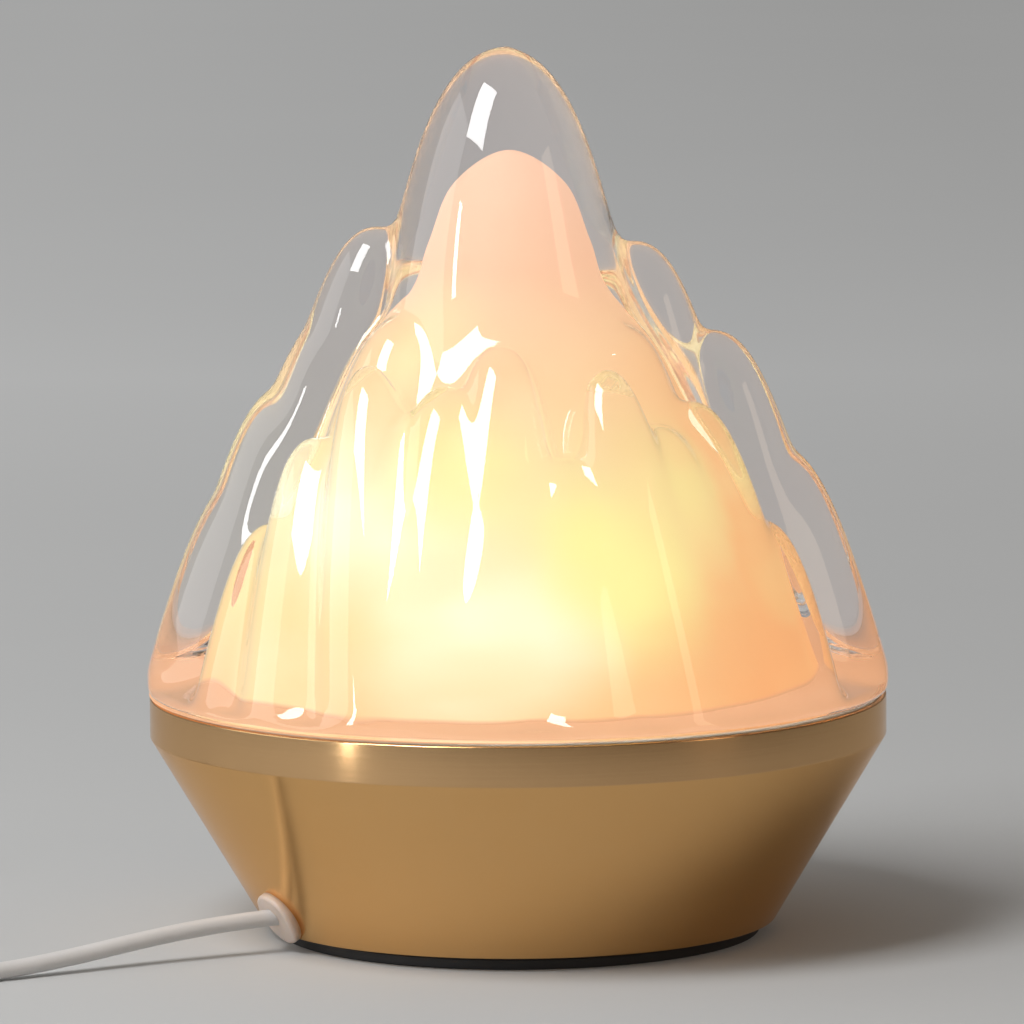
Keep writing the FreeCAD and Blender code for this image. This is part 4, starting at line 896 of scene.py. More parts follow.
def mountain_skin(glass):
    """Rings of points on the outer skin, along rays from a point on the foot's plane."""
    around = np.linspace(0, 2 * np.pi, glass.around, endpoint=False)
    up = np.linspace(0, np.pi / 2, glass.rings)
    turn, rise = np.meshgrid(around, up)
    way = np.stack([np.cos(rise) * np.cos(turn), np.cos(rise) * np.sin(turn), np.sin(rise)], -1)
    near = np.zeros(turn.shape)
    far = np.full(turn.shape, FAN_REACH)
    edge = glass.foot_round / MM
    for _ in range(HALVINGS):
        mid = (near + far) / 2
        x = FAN_X + way[..., 0] * mid
        y = way[..., 1] * mid
        z = way[..., 2] * mid
        low = np.clip(edge - z, 0, edge)
        limit = FOOT_R - edge + np.sqrt(edge * edge - low * low)
        inside = (ridge_field(x, y, z, glass.blend, glass.cap) < 0) & (np.hypot(x, y) < limit)
        near = np.where(inside, mid, near)
        far = np.where(inside, far, mid)
    for _ in range(SMOOTHING):
        near = (np.roll(near, 1, 1) + 2 * near + np.roll(near, -1, 1)) / 4
        below, here, above = near[FOOT_RINGS - 1:-2], near[FOOT_RINGS:-1], near[FOOT_RINGS + 1:]
        near[FOOT_RINGS:-1] = (below + 2 * here + above) / 4
    points = way * near[..., None]
    points[..., 0] += FAN_X
    return points


def hollow_profile(count):
    """A smooth curve through the points of the hollow's outline, from the foot to its crown."""
    first = (2 * HOLLOW[0][0] - HOLLOW[1][0], 2 * HOLLOW[0][1] - HOLLOW[1][1])
    last = (-HOLLOW[-2][0], HOLLOW[-2][1])
    p = np.array([first] + HOLLOW + [last], float)
    spans = len(HOLLOW) - 1
    points = []
    for k in range(count):
        u = k * spans / (count - 1)
        i = min(int(u), spans - 1)
        t = u - i
        a, b, c, d = p[i], p[i + 1], p[i + 2], p[i + 3]
        bend = 2 * a - 5 * b + 4 * c - d
        twist = 3 * b - a - 3 * c + d
        points.append(0.5 * (2 * b + (c - a) * t + bend * t**2 + twist * t**3))
    return np.array(points)


def offset_profile(points, away):
    """A profile moved sideways: outwards for a positive distance."""
    way = np.gradient(points, axis=0)
    way /= np.linalg.norm(way, axis=1)[:, None]
    side = np.stack([way[:, 1], -way[:, 0]], -1)
    moved = points + side * away
    moved[-1, 0] = 0.0
    return moved


def build_glass(scene):
    """The skin's rings, a point on the peak, the hollow's rings and crown, and the flat foot."""
    glass = scene.lamp_glass
    skin = mountain_skin(glass)
    rings, around = skin.shape[:2]
    verts = [tuple(v) for v in skin[:-1].reshape(-1, 3)]
    faces = []

    def add_band(low, high):
        for i in range(around):
            k = (i + 1) % around
            faces.append((low + i, low + k, high + k, high + i))

    for j in range(rings - 2):
        add_band(j * around, (j + 1) * around)
    top = len(verts)
    verts.append(tuple(skin[-1].mean(axis=0)))
    base = (rings - 2) * around
    faces += [(base + i, base + (i + 1) % around, top) for i in range(around)]
    profile = hollow_profile(HOLLOW_POINTS)
    start = len(verts)
    turn = np.linspace(0, 2 * np.pi, around, endpoint=False)
    for r, z in profile[:-1]:
        verts += [(HOLLOW_X + r * math.cos(a), r * math.sin(a), z) for a in turn]
    crown = len(verts)
    verts.append((HOLLOW_X, 0.0, profile[-1][1]))
    for j in range(len(profile) - 2):
        add_band(start + j * around, start + (j + 1) * around)
    last = start + (len(profile) - 2) * around
    faces += [(last + i, crown, last + (i + 1) % around) for i in range(around)]
    add_band(0, start)
    verts = [(x * MM, y * MM, SEAT + z * MM) for x, y, z in verts]
    piece = mesh_piece("glass_mountain", verts, faces, MATERIALS["clear_glass"])
    stand_in(piece, "shade", "clear_glass", "glass_shade")


def build_lining(scene):
    """The satin layer, in one with the glass: its outer face lies a little way into the glass."""
    middle = hollow_profile(LINING_POINTS)
    outer = offset_profile(middle, scene.lamp_glass.lining / MM)
    inner = offset_profile(middle, -LINING_INSIDE)
    outer[:, 1] = np.maximum(outer[:, 1], LINING_OVER)
    inner[:, 1] = np.maximum(inner[:, 1], LINING_UNDER)
    foot = FOOT_R - LINING_INSET
    outline = [(foot, LINING_UNDER), (foot, LINING_OVER)]
    outline += [tuple(p) for p in outer] + [tuple(p) for p in inner[::-1]]
    piece = turned_piece(
        "satin_lining", [(r, z + SEAT / MM) for r, z in outline], MATERIALS["satin_lining"], 240,
    )
    for v in piece.data.vertices:
        v.co.x += HOLLOW_X * MM
    stand_in(piece, "shade", "clear_glass", "glass_shade")


# The bowl, its foot and its cover


FLANGE_R = 54.0      # inner radius of the flange turned in at the bottom
LEDGE_R = 107.0      # inner radius of the ledge turned in under the glass


def build_bowl(scene):
    bowl = scene.lamp_bowl
    wall = bowl.wall / MM
    foot = bowl.foot_r / MM
    low = BOWL_LOW / MM
    top = BOWL_TOP / MM
    crease = top - bowl.band / MM
    rim = RIM_R / MM
    slope = (rim - foot) / (crease - low)
    skew = wall * math.sqrt(1 + slope * slope)
    corners = [
        (FLANGE_R, low, 0.3),
        (foot, low, 0.7),
        (rim, crease, 0.9),
        (rim, top, 0.6),
        (LEDGE_R, top, 0.3),
        (LEDGE_R, top - wall, 0.3),
        (rim - wall, top - wall, 0.5),
        (rim - wall, low + (rim - wall - foot + skew) / slope, 0.5),
        (foot + slope * wall - skew, low + wall, 0.5),
        (FLANGE_R, low + wall, 0.3),
    ]
    piece = turned_piece(
        "spun_bowl", rounded_profile(corners), MATERIALS["brushed_brass"], bowl.segments,
    )
    stand_in(piece, "base", "brushed_brass", "brass_bowl")


# Outlines of the two rings: radius, height and rounding
FOOT_RING = [(66.0, 0.0, 0.4), (77.8, 0.0, 0.5), (77.8, 3.2, 0.2), (66.0, 3.2, 0.2)]
FELT_RING = [(108.4, 77.6, 0.1), (117.4, 77.6, 0.1), (117.4, 78.15, 0.15), (108.4, 78.15, 0.15)]


def build_foot():
    ring = turned_piece(
        "foot_ring_rubber", rounded_profile(FOOT_RING), MATERIALS["black_rubber"], 192,
    )
    stand_in(ring, "base", "black_rubber", "foot_ring")
    felt = turned_piece("rim_felt", rounded_profile(FELT_RING), MATERIALS["felt"], 192)
    stand_in(felt, "base", "felt", "rim_gasket")


RECESS = (0.11, 0.55)    # half width and half length of a recess's arm, in head radii
TIP_CHAMFER = 0.5


def screw_mesh(name, head_r, head_h, shank_r, shank, seat_z, up, at_r):
    """A pan-head screw with a cross recess, at a distance from the axis along X."""
    profile = rounded_profile([
        (0.0, head_h * up, 0),
        (head_r, head_h * up, 0.45 * head_h),
        (head_r, 0.0, 0.1),
        (shank_r, 0.0, 0.0),
        (shank_r, -(shank - TIP_CHAMFER) * up, 0),
        (shank_r - TIP_CHAMFER, -shank * up, 0),
        (0.0, -shank * up, 0),
    ], closed=False)
    piece = turned_piece(name, profile, MATERIALS["zinc_steel"], 32)
    slot = bmesh.new()
    for wide, long in (RECESS, RECESS[::-1]):
        made = bmesh.ops.create_cube(slot, size=1.0)
        for v in made["verts"]:
            v.co.x *= 2 * wide * head_r * MM
            v.co.y *= 2 * long * head_r * MM
            v.co.z = v.co.z * head_h * MM + head_h * up * MM
    cutter_mesh = bpy.data.meshes.new(name + "_cut")
    slot.to_mesh(cutter_mesh)
    slot.free()
    cutter = link(name + "_cut", cutter_mesh)
    cut = piece.modifiers.new("Recess", "BOOLEAN")
    cut.operation = "DIFFERENCE"
    cut.object = cutter
    cut.use_self = True
    apply_modifiers(piece)
    bpy.data.objects.remove(cutter)
    for v in piece.data.vertices:
        v.co.x += at_r * MM
        v.co.z += seat_z * MM
    return piece


def build_cover():
    """The cover plate and the screws and nuts that hold it, set out in a ring."""
    finished_copy(
        "bottom_plate", "cover_plate", "base", "black_steel", MATERIALS["black_steel"], bevel=0.15 * MM,
    )
    screws = screw_mesh(
        "cover_screws", head_r=3.6, head_h=2.2, shank_r=2.0, shank=6.5, seat_z=3.2, up=-1, at_r=60.5,
    )
    run_tree(
        screws, ring_tree(), Count=3, Start=math.radians(30), Step=math.radians(120),
        Material=MATERIALS["zinc_steel"],
    )
    stand_in(screws, "base", "zinc_steel", "bottom_screws")
    finished_copy(
        "flange_nuts", "cover_nuts", "base", "zinc_steel", MATERIALS["zinc_steel"], bevel=0.2 * MM,
    )


# The lampholder and the bulb


# Outlines of the lampholder's two shells: radius, height and rounding
HOLDER_CAP = [
    (5.05, 20.8, 0.2), (15.0, 20.8, 0.8), (19.8, 30.8, 2.0), (19.8, 40.8, 0.3),
    (17.6, 40.8, 0.2), (17.6, 30.8, 1.0), (12.8, 23.0, 0.5), (5.05, 23.0, 0.2),
]
HOLDER_SLEEVE = [
    (18.4, 40.85, 0.2), (19.6, 40.85, 0.2), (19.6, 76.8, 0.8), (14.9, 76.8, 0.4),
    (14.9, 75.2, 0.3), (18.4, 75.2, 0.3),
]
# A grip rib's section, x and y, then its lower and upper ends, which slope in to the crest
RIB_SECTION = [(19.5, -0.7), (19.98, -0.35), (19.98, 0.35), (19.5, 0.7)]
RIB_LOW = [43.0, 43.4, 43.4, 43.0]
RIB_HIGH = [72.0, 71.6, 71.6, 72.0]
RIBS = 36


def build_rib(material):
    """One grip rib of the lampholder's sleeve."""
    verts = [
        (x * MM, y * MM, z * MM)
        for ends in (RIB_LOW, RIB_HIGH) for (x, y), z in zip(RIB_SECTION, ends)
    ]
    faces = [(0, 1, 2, 3), (4, 7, 6, 5), (0, 4, 5, 1), (1, 5, 6, 2), (2, 6, 7, 3), (3, 7, 4, 0)]
    return mesh_piece("holder_grip_ribs", verts, faces, material)


def build_holder():
    """The bridge, its fixings, the contacts and the two shells with their grip ribs."""
    steel = MATERIALS["zinc_steel"]
    for node, name, bevel in (
        ("holder_bridge", "bridge_strap", 0.2),
        ("bridge_rivets", "bridge_rivet_pair", 0.0),
        ("holder_nipple", "threaded_tube", 0.2),
        ("nipple_nut", "tube_nut", 0.25),
        ("lock_washer", "toothed_washer", 0.1),
        ("clamp_screws", "clamp_screw_pair", 0.0),
    ):
        finished_copy(node, name, "base", "zinc_steel", steel, bevel=bevel * MM)
    finished_copy(
        "contact_block", "holder_block", "base", "ceramic", MATERIALS["ceramic"], bevel=0.25 * MM,
    )
    brass = MATERIALS["contact_brass"]
    for node, name in (
        ("centre_contact", "spring_contact"),
        ("side_contact", "shell_contact"),
        ("terminal_screws", "terminal_screw_pair"),
        ("screw_shell", "threaded_shell"),
    ):
        finished_copy(node, name, "base", "contact_brass", brass, bevel=0.05 * MM)
    white = MATERIALS["white_phenolic"]
    cap = turned_piece("holder_cap_moulding", rounded_profile(HOLDER_CAP), white, 96)
    stand_in(cap, "base", "white_phenolic", "holder_cap")
    sleeve = turned_piece("holder_sleeve_moulding", rounded_profile(HOLDER_SLEEVE), white, 96)
    stand_in(sleeve, "base", "white_phenolic", "holder_sleeve")
    ribs = run_tree(
        build_rib(white), ring_tree(), Count=RIBS, Start=0.0, Step=math.radians(360 / RIBS),
        Material=white,
    )
    stand_in(ribs, "base", "white_phenolic")


def build_wiring():
    for node, name, slot in (
        ("live_wire", "brown_core", "brown_wire"),
        ("neutral_wire", "blue_core", "blue_wire"),
        ("inner_cord", "cord_inside_bowl", "white_cord"),
    ):
        finished_copy(node, name, "base", slot, MATERIALS[slot], sharp=50.0)
    finished_copy(
        "clamp_saddle", "cord_clamp", "base", "white_plastic", MATERIALS["white_plastic"],
        bevel=0.15 * MM,
    )


BULB_R = 29.95
BULB_MIDDLE = 74.0     # height above the bulb's tip, like all heights here
NECK_R = 12.0
NECK_LOW = 18.0
NECK_TOP = 26.0
SHOULDER = -40         # degrees at which the globe begins
NECK_BULGE = 0.4       # how far the neck's curve keeps its direction at both ends
NECK_STEPS = 14
GLOBE_STEPS = 32
BULB_WALL = 0.8
THREAD_R = 12.9        # middle radius of the cap's rolled thread
THREAD_DEPTH = 0.3
THREAD_PITCH = 3.0
THREAD_LOW = 6.5
THREAD_STEP = 0.25     # height between its points
THREAD_STEPS = 60
# Radius and height of the cap's outline below the thread, and from above it back inside
CAP_BELOW = [(12.6, 3.6), (12.6, THREAD_LOW)]
CAP_ABOVE = [(12.7, 22.3), (13.2, 23.0), (13.2, 25.0), (12.2, 25.0), (12.2, 3.6)]


def bulb_outline():
    """Outer outline of the envelope: the neck, a curve out to the shoulder and the globe."""
    a = math.radians(SHOULDER)
    shoulder = np.array([BULB_R * math.cos(a), BULB_MIDDLE + BULB_R * math.sin(a)])
    start = np.array([NECK_R, NECK_TOP])
    reach = NECK_BULGE * np.linalg.norm(shoulder - start)
    one = start + np.array([0, reach])
    two = shoulder + np.array([math.sin(a), -math.cos(a)]) * reach
    outline = [(NECK_R, NECK_LOW), (NECK_R, NECK_TOP)]
    for k in range(1, NECK_STEPS + 1):
        t = k / NECK_STEPS
        s = 1 - t
        outline.append(tuple(
            s**3 * start + 3 * s**2 * t * one + 3 * s * t * t * two + t**3 * shoulder
        ))
    for k in range(1, GLOBE_STEPS + 1):
        b = a + (math.pi / 2 - a) * k / GLOBE_STEPS
        outline.append((max(BULB_R * math.cos(b), 0.0), BULB_MIDDLE + BULB_R * math.sin(b)))
    return outline


def cap_outline():
    """Outline of the screw cap, whose rolled thread is drawn as rings."""
    thread = []
    for k in range(THREAD_STEPS + 1):
        h = THREAD_LOW + k * THREAD_STEP
        turn = 2 * math.pi * (h - THREAD_LOW) / THREAD_PITCH - math.pi / 2
        thread.append((THREAD_R + THREAD_DEPTH * math.sin(turn), h))
    return CAP_BELOW + thread + CAP_ABOVE


def build_bulb():
    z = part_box("bulb_contact")[0].z / MM
    outline = bulb_outline()
    inner = [
        (max(r - BULB_WALL, 0.0), h - (BULB_WALL if r < 1 else 0.0)) for r, h in reversed(outline)
    ]
    globe = turned_piece(
        "bulb_envelope", [(r, h + z) for r, h in outline + inner], MATERIALS["bulb_glass"], 128,
    )
    stand_in(globe, "bulb", "bulb_glass", "bulb_globe")
    shell = turned_piece(
        "bulb_screw_cap", [(r, h + z) for r, h in cap_outline()], MATERIALS["bulb_cap"], 96,
    )
    stand_in(shell, "bulb", "bulb_cap", "bulb_cap")
    finished_copy(
        "bulb_insulator", "bulb_base_glaze", "bulb", "black_glaze", MATERIALS["black_glaze"],
        bevel=0.1 * MM,
    )
    finished_copy("bulb_contact", "bulb_tip_contact", "bulb_tip", "zinc_steel", MATERIALS["zinc_steel"])
    finished_copy("bulb_stem", "bulb_glass_stem", "bulb", "bulb_glass", MATERIALS["bulb_glass"])
    finished_copy("lead_wires", "bulb_lead_pair", "bulb", "zinc_steel", MATERIALS["zinc_steel"])
    finished_copy("filament", "bulb_filament", "bulb", "filament", MATERIALS["filament"])


# The cord, the switch and the plug

# The cord's route: from the grommet to the switch, and from the switch to the coil
TO_SWITCH = [
    (-76.1, -43.1, 11.8), (-95.0, -51.6, 11.0), (-118.0, -63.4, 8.4), (-141.0, -76.8, 5.0),
    (-163.0, -90.4, 2.9), (-181.0, -101.0, 2.85), (-203.0, -99.5, 2.9), (-218.5, -87.5, 3.9),
    (-224.7, -70.0, 6.0), (-224.7, -58.0, 6.0),
]
FROM_SWITCH = [(-224.7, -8.0, 6.0), (-224.7, 3.0, 6.0), (-224.7, 19.0, 2.8), (-224.7, 32.5, 2.8)]
COIL_X = -267.7      # middle of the coil's first half turn
COIL_Y = 38.0
COIL_R = 43.0        # radius of the first half turn
COIL_STEP = 6.05     # between neighbouring turns, and between the two layers
COIL_HALVES = 7      # half turns in a layer
COIL_LOW = 2.8       # height of the lower layer
COIL_POINTS = 12     # points to a half turn
# From the coil's end to the plug, counted from that end
TO_PLUG = [
    (0.0, 5.5, 0.0), (0.0, 16.0, 0.0), (0.45, 27.0, -0.05), (2.55, 37.5, -2.0), (4.85, 48.3, -2.0),
]


def coil_points():
    """Half turns that spiral in on the table, climb once, and spiral out on top."""
    radii = [COIL_R - k * COIL_STEP / 2 for k in range(COIL_HALVES)]
    climb = COIL_R - COIL_HALVES * COIL_STEP / 2
    plan = [(r, 0.0) for r in radii] + [(climb, COIL_STEP)]
    plan += [(r, 0.0) for r in reversed(radii[1:])]
    x = COIL_X + COIL_R
    z = COIL_LOW
    side = 1
    points = [(x, COIL_Y, z)]
    for radius, rise in plan:
        middle = x - radius * side
        for k in range(1, COIL_POINTS + 1):
            a = math.pi * k / COIL_POINTS
            climb_share = (1 - math.cos(a)) / 2
            points.append((
                middle + radius * side * math.cos(a), COIL_Y + radius * side * math.sin(a),
                z + rise * climb_share,
            ))
        x -= 2 * radius * side
        z += rise
        side = -side
    return points


def cord_curve(name, points, diameter):
    """A smooth round cord whose control points are the given points, in millimetres."""
    data = bpy.data.curves.new(name, "CURVE")
    data.dimensions = "3D"
    data.bevel_depth = diameter / 2
    data.bevel_resolution = 6
    data.resolution_u = 8
    data.use_fill_caps = True
    spline = data.splines.new("NURBS")
    spline.points.add(len(points) - 1)
    for point, (x, y, z) in zip(spline.points, points):
        point.co = (x * MM, y * MM, z * MM, 1.0)
    spline.order_u = 3
    spline.use_endpoint_u = True
    data.materials.append(MATERIALS["white_cord"])
    return link(name, data)


def build_cord(scene):
    diameter = scene.lamp_cord.diameter
    first = cord_curve("cord_to_switch", TO_SWITCH, diameter)
    stand_in(first, "base", "white_cord", "cord_free")
    coil = coil_points()
    end = coil[-1]
    tail = [(end[0] + dx, end[1] + dy, end[2] + dz) for dx, dy, dz in TO_PLUG]
    second = cord_curve("cord_to_plug", FROM_SWITCH + coil + tail, diameter)
    stand_in(second, "base", "white_cord", "cord_mid", "cord_coil", "cord_tail")


def piece(name):
    """A finished piece by its name."""
    return bpy.data.objects[name]


def build_grommet():
    finished_copy(
        "cord_grommet", "cable_grommet", "base", "grommet_plastic", MATERIALS["grommet_plastic"],
        sharp=35.0,
    )


def build_switch():
    white = MATERIALS["white_plastic"]
    finished_copy("switch_base", "switch_lower_shell", "base", "white_plastic", white, bevel=0.15 * MM)
    finished_copy("switch_cover", "switch_upper_shell", "base", "white_plastic", white, bevel=0.15 * MM)
    finished_copy(
        "switch_rocker", "switch_rocker_key", "rocker", "white_plastic", white, bevel=0.4 * MM,
    )
    finished_copy("rocker_pin", "switch_pivot_pin", "base", "zinc_steel", MATERIALS["zinc_steel"])
    finished_copy("switch_screws", "switch_shell_screws", "base", "zinc_steel", MATERIALS["zinc_steel"])
    finished_copy(
        "switch_contacts", "switch_contact_strips", "base", "contact_brass", MATERIALS["contact_brass"],
    )


def build_plug():
    finished_copy(
        "plug_body", "plug_moulding", "base", "white_plastic", MATERIALS["white_plastic"],
        bevel=0.2 * MM,
    )
    finished_copy("plug_pins", "plug_pin_pair", "base", "nickel", MATERIALS["nickel"])


# Stage: floor, light and camera


LIGHT_TARGET = (0, 0, 0.15)
NEUTRAL = (1, 1, 1)
COOL = (0.94, 0.975, 1.0, 1)
WARM = (1.0, 0.78, 0.58, 1)
# Azimuth from the camera to the right and elevation in degrees, then distance, width and height in
# metres, the stage's value that holds the power, and the tone
LIGHTS = {
    "key_softbox": (-46, 51, 1.6, 0.68, 0.8, "key", NEUTRAL),
    "strip_light": (-52, 11, 1.6, 0.1, 0.8, "strip", NEUTRAL),
    "window_light": (-86, 25, 2.6, 2.0, 1.4, "window", NEUTRAL),
    "fill_softbox": (62, 18, 1.8, 0.45, 0.9, "fill", WARM[:3]),
}
ROOM_LEFT = 1.8        # room light at the left and at the right, as shares of its strength
ROOM_RIGHT = 0.5
ROOM_SEEN = 0.33       # strength that the camera sees past the backdrop
BACKDROP_R = 9.0
BACKDROP_SIDES = 96


def aim(thing, place, target):
    """Puts a thing in its place, facing a target."""
    thing.location = place
    thing.rotation_euler = (Vector(target) - Vector(place)).to_track_quat("-Z", "Y").to_euler()


def softbox(name, azimuth, elevation, distance, wide, tall, power, colour):
    """A rectangular softbox that faces the lamp."""
    data = bpy.data.lights.new(name, "AREA")
    data.shape = "RECTANGLE"
    data.size = wide
    data.size_y = tall
    data.energy = power
    data.color = colour
    lamp = bpy.data.objects.new(name, data)
    bpy.context.scene.collection.objects.link(lamp)
    a, e = math.radians(azimuth), math.radians(elevation)
    way = Vector((math.sin(a) * math.cos(e), -math.cos(a) * math.cos(e), math.sin(e)))
    aim(lamp, Vector(LIGHT_TARGET) + way * distance, LIGHT_TARGET)


def build_backdrop(stage):
    """A floor whose far end gives off a little light, so that it stays as even as paper, with painted
    light that is stronger at the left than at the right.
    """
    material, tree, shader = new_material("backdrop_paper", Roughness=0.9)
    group = add_group(tree, mottle_group(), Broad=3.0, Fine=260.0)
    tone = tuple(stage.floor)
    tree.links.new(
        blend_colours(tree, group.outputs["Mask"], shade(tone, 0.985), shade(tone, 1.015)),
        shader.inputs["Base Color"],
    )
    split = tree.nodes.new("ShaderNodeSeparateXYZ")
    tree.links.new(object_coordinates(tree), split.inputs[0])
    away = map_value(tree, split.outputs["Y"], 0.0, stage.backlight, -0.2, 1.6)
    # Painted light: the backdrop's glow is stronger at the left and weaker at the right
    left = map_value(tree, split.outputs["X"], 1.1, 0.84, -0.3, 0.3)
    away = math_node(tree, "MULTIPLY", away, left)
    distance = tree.nodes.new("ShaderNodeVectorMath")
    distance.operation = "LENGTH"
    tree.links.new(object_coordinates(tree), distance.inputs[0])
    far = map_value(
        tree, distance.outputs["Value"], 0.0, 0.84 * stage.backlight, 1.5, 3.4, smooth=True,
    )
    away = math_node(tree, "MAXIMUM", away, far)
    shader.inputs["Emission Color"].default_value = tone
    tree.links.new(away, shader.inputs["Emission Strength"])
    turns = [2 * math.pi * k / BACKDROP_SIDES for k in range(BACKDROP_SIDES)]
    verts = [(BACKDROP_R * math.cos(a), BACKDROP_R * math.sin(a), 0.0) for a in turns]
    mesh = bpy.data.meshes.new("backdrop")
    mesh.from_pydata(verts, [], [tuple(range(BACKDROP_SIDES))])
    mesh.materials.append(material)
    backdrop = link("backdrop", mesh)


def build_room(scene):
    """Room light that is stronger and cooler at the left, with an even tone for the camera."""
    strength = scene.lamp_stage.world
    world = bpy.data.worlds.new("studio")
    scene.world = world
    world.use_nodes = True
    tree = world.node_tree
    light = tree.nodes["Background"]
    way = tree.nodes.new("ShaderNodeTexCoord")
    split = tree.nodes.new("ShaderNodeSeparateXYZ")
    tree.links.new(way.outputs["Generated"], split.inputs[0])
    side = split.outputs["X"]
    sides = map_value(tree, side, ROOM_LEFT * strength, ROOM_RIGHT * strength, -1.0, 1.0)
    seen = tree.nodes.new("ShaderNodeLightPath").outputs["Is Camera Ray"]
    mix = tree.nodes.new("ShaderNodeMix")
    tree.links.new(seen, mix.inputs["Factor"])
    tree.links.new(sides, mix.inputs[2])
    mix.inputs[3].default_value = ROOM_SEEN
    tree.links.new(mix.outputs[0], light.inputs["Strength"])
    warmth = map_value(tree, side, 0.0, 1.0, -0.5, 0.8)
    hidden = math_node(tree, "SUBTRACT", 1.0, seen)
    warmth = math_node(tree, "MULTIPLY", warmth, hidden)
    tree.links.new(blend_colours(tree, warmth, COOL, WARM), light.inputs["Color"])


def build_stage(scene):
    stage = scene.lamp_stage
    build_backdrop(stage)
    for name, (azimuth, elevation, distance, wide, tall, power, colour) in LIGHTS.items():
        softbox(name, azimuth, elevation, distance, wide, tall, getattr(stage, power), colour)
    build_room(scene)
    scene.view_settings.view_transform = "Standard"


LENS = 329.7           # millimetres, on a frame 36 mm wide
CAMERA_X = -0.00157
CAMERA_HEIGHT = 0.5182
CAMERA_DOWN = 7.259    # degrees that the camera looks down
CAMERA_ROLL = -0.37


def build_camera(scene):
    data = bpy.data.cameras.new("camera")
    data.sensor_fit = "HORIZONTAL"
    data.sensor_width = 36.0
    data.lens = LENS
    data.clip_start = 0.05
    data.clip_end = 60.0
    camera = bpy.data.objects.new("camera", data)
    scene.collection.objects.link(camera)
    camera.location = (CAMERA_X, -scene.lamp_stage.distance, CAMERA_HEIGHT)
    pitch = Matrix.Rotation(math.radians(90.0 - CAMERA_DOWN), 4, "X")
    roll = Matrix.Rotation(math.radians(CAMERA_ROLL), 4, "Z")
    camera.rotation_euler = (pitch @ roll).to_euler()
    scene.camera = camera


# Operators, panel and registration


class LAMP_OT_camera(bpy.types.Operator):
    """Set the camera at the photograph's angle"""

    bl_idname = "lamp.camera"
    bl_label = "Camera"
    bl_options = {"REGISTER", "UNDO"}

    def execute(self, context):
        build_camera(context.scene)
        return {"FINISHED"}


class LAMP_OT_materials(bpy.types.Operator):
    """Make the lamp's materials"""

    bl_idname = "lamp.materials"
    bl_label = "Materials"
    bl_options = {"REGISTER", "UNDO"}

    def execute(self, context):
        make_materials(context.scene)
        return {"FINISHED"}


class LAMP_OT_switch(bpy.types.Operator):
    """Build the switch on the cord"""

    bl_idname = "lamp.switch"
    bl_label = "Inline switch"
    bl_options = {"REGISTER", "UNDO"}

    def execute(self, context):
        build_switch()
        return {"FINISHED"}


class LAMP_OT_plug(bpy.types.Operator):
    """Build the plug and its pins"""

    bl_idname = "lamp.plug"
    bl_label = "Plug"
    bl_options = {"REGISTER", "UNDO"}

    def execute(self, context):
        build_plug()
        return {"FINISHED"}


class LAMP_OT_cord(bpy.types.Operator):
    """Lay the cord to the switch, the coil and the plug"""

    bl_idname = "lamp.cord"
    bl_label = "Cord"
    bl_options = {"REGISTER", "UNDO"}

    def execute(self, context):
        build_cord(context.scene)
        return {"FINISHED"}


class LAMP_OT_stage(bpy.types.Operator):
    """Build the backdrop and the lights"""

    bl_idname = "lamp.stage"
    bl_label = "Stage"
    bl_options = {"REGISTER", "UNDO"}

    def execute(self, context):
        build_stage(context.scene)
        return {"FINISHED"}


class LAMP_OT_glass(bpy.types.Operator):
    """Build the clear glass shade"""

    bl_idname = "lamp.glass"
    bl_label = "Glass mountain"
    bl_options = {"REGISTER", "UNDO"}

    def execute(self, context):
        build_glass(context.scene)
        return {"FINISHED"}


class LAMP_OT_lining(bpy.types.Operator):
    """Build the lit satin layer of the hollow"""

    bl_idname = "lamp.lining"
    bl_label = "Satin lining"
    bl_options = {"REGISTER", "UNDO"}

    def execute(self, context):
        build_lining(context.scene)
        return {"FINISHED"}


class LAMP_OT_bowl(bpy.types.Operator):
    """Turn the spun brass bowl"""

    bl_idname = "lamp.bowl"
    bl_label = "Brass bowl"
    bl_options = {"REGISTER", "UNDO"}

    def execute(self, context):
        build_bowl(context.scene)
        return {"FINISHED"}


class LAMP_OT_foot(bpy.types.Operator):
    """Turn the foot ring and the felt ring"""

    bl_idname = "lamp.foot"
    bl_label = "Foot and felt"
    bl_options = {"REGISTER", "UNDO"}

    def execute(self, context):
        build_foot()
        return {"FINISHED"}


class LAMP_OT_cover(bpy.types.Operator):
    """Build the cover plate, its screws and nuts"""

    bl_idname = "lamp.cover"
    bl_label = "Cover plate"
    bl_options = {"REGISTER", "UNDO"}

    def execute(self, context):
        build_cover()
        return {"FINISHED"}


class LAMP_OT_holder(bpy.types.Operator):
    """Build the bridge and the lampholder"""

    bl_idname = "lamp.holder"
    bl_label = "Lampholder"
    bl_options = {"REGISTER", "UNDO"}

    def execute(self, context):
        build_holder()
        return {"FINISHED"}


class LAMP_OT_wiring(bpy.types.Operator):
    """Finish the cores and the cord clamp"""

    bl_idname = "lamp.wiring"
    bl_label = "Wiring"
    bl_options = {"REGISTER", "UNDO"}

    def execute(self, context):
        build_wiring()
        return {"FINISHED"}


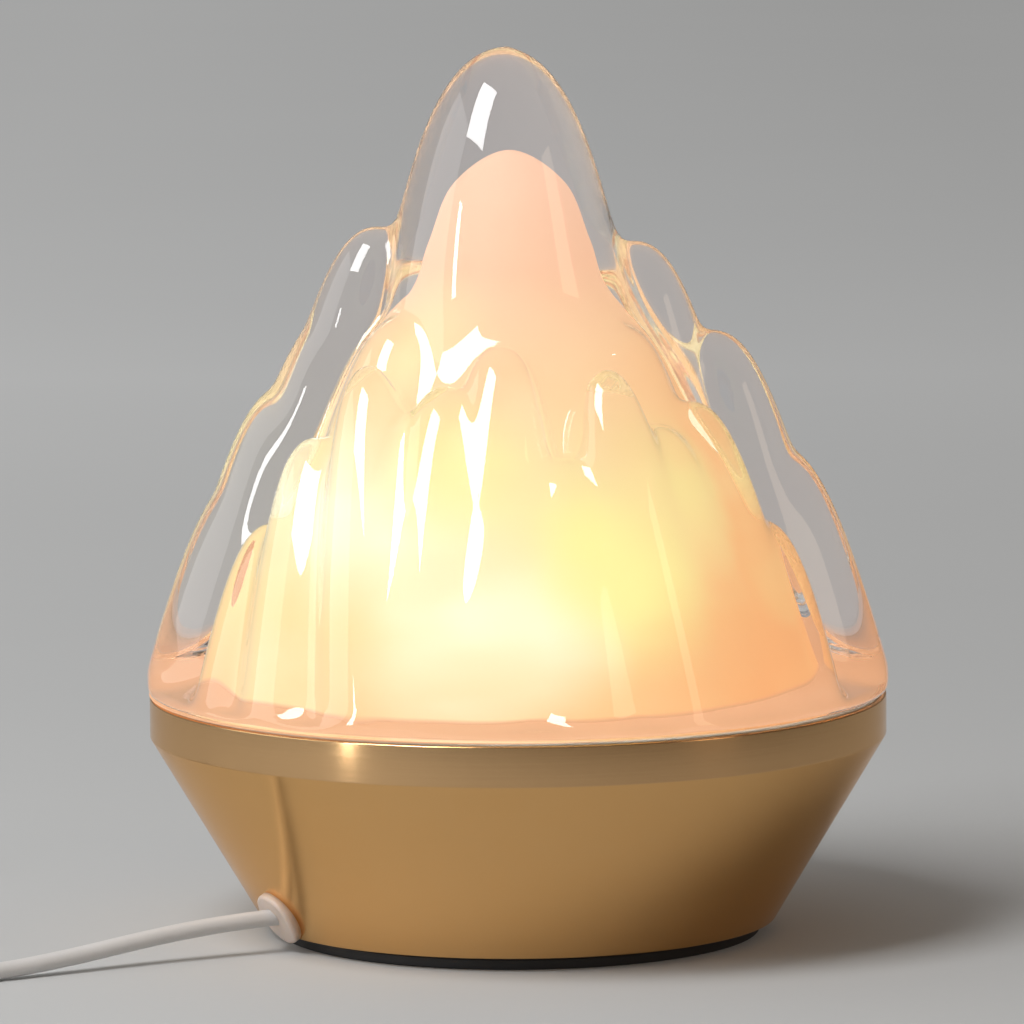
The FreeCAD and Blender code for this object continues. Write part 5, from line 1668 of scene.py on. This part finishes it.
class LAMP_OT_bulb(bpy.types.Operator):
    """Build the bulb"""

    bl_idname = "lamp.bulb"
    bl_label = "Bulb"
    bl_options = {"REGISTER", "UNDO"}

    def execute(self, context):
        build_bulb()
        return {"FINISHED"}


class LAMP_OT_grommet(bpy.types.Operator):
    """Finish the grommet"""

    bl_idname = "lamp.grommet"
    bl_label = "Grommet"
    bl_options = {"REGISTER", "UNDO"}

    def execute(self, context):
        build_grommet()
        return {"FINISHED"}


# In the order in which the lamp is built
OPERATORS = [
    LAMP_OT_camera,
    LAMP_OT_materials,
    LAMP_OT_switch,
    LAMP_OT_plug,
    LAMP_OT_cord,
    LAMP_OT_stage,
    LAMP_OT_glass,
    LAMP_OT_lining,
    LAMP_OT_bowl,
    LAMP_OT_foot,
    LAMP_OT_cover,
    LAMP_OT_holder,
    LAMP_OT_wiring,
    LAMP_OT_bulb,
    LAMP_OT_grommet,
]
GROUPS = {
    "lamp_glass": LampGlass, "lamp_bowl": LampBowl, "lamp_cord": LampCord, "lamp_stage": LampStage,
}


class LAMP_PT_panel(bpy.types.Panel):
    """Lists the lamp's sizes and builders."""

    bl_label = "Mountain lamp"
    bl_idname = "LAMP_PT_panel"
    bl_space_type = "VIEW_3D"
    bl_region_type = "UI"
    bl_category = "Lamp"

    def draw(self, context):
        for group in GROUPS:
            values = getattr(context.scene, group)
            box = self.layout.box()
            for name in values.__annotations__:
                box.prop(values, name)
        for kind in OPERATORS:
            self.layout.operator(kind.bl_idname)


def register():
    for group, kind in GROUPS.items():
        bpy.utils.register_class(kind)
        setattr(bpy.types.Scene, group, bpy.props.PointerProperty(type=kind))
    for kind in OPERATORS + [LAMP_PT_panel]:
        bpy.utils.register_class(kind)


def unregister():
    for kind in [LAMP_PT_panel] + OPERATORS[::-1]:
        bpy.utils.unregister_class(kind)
    for group, kind in GROUPS.items():
        delattr(bpy.types.Scene, group)
        bpy.utils.unregister_class(kind)


def main():
    register()
    for kind in OPERATORS:
        getattr(bpy.ops.lamp, kind.bl_idname.split(".")[1])()


if __name__ == "__main__":
    main()
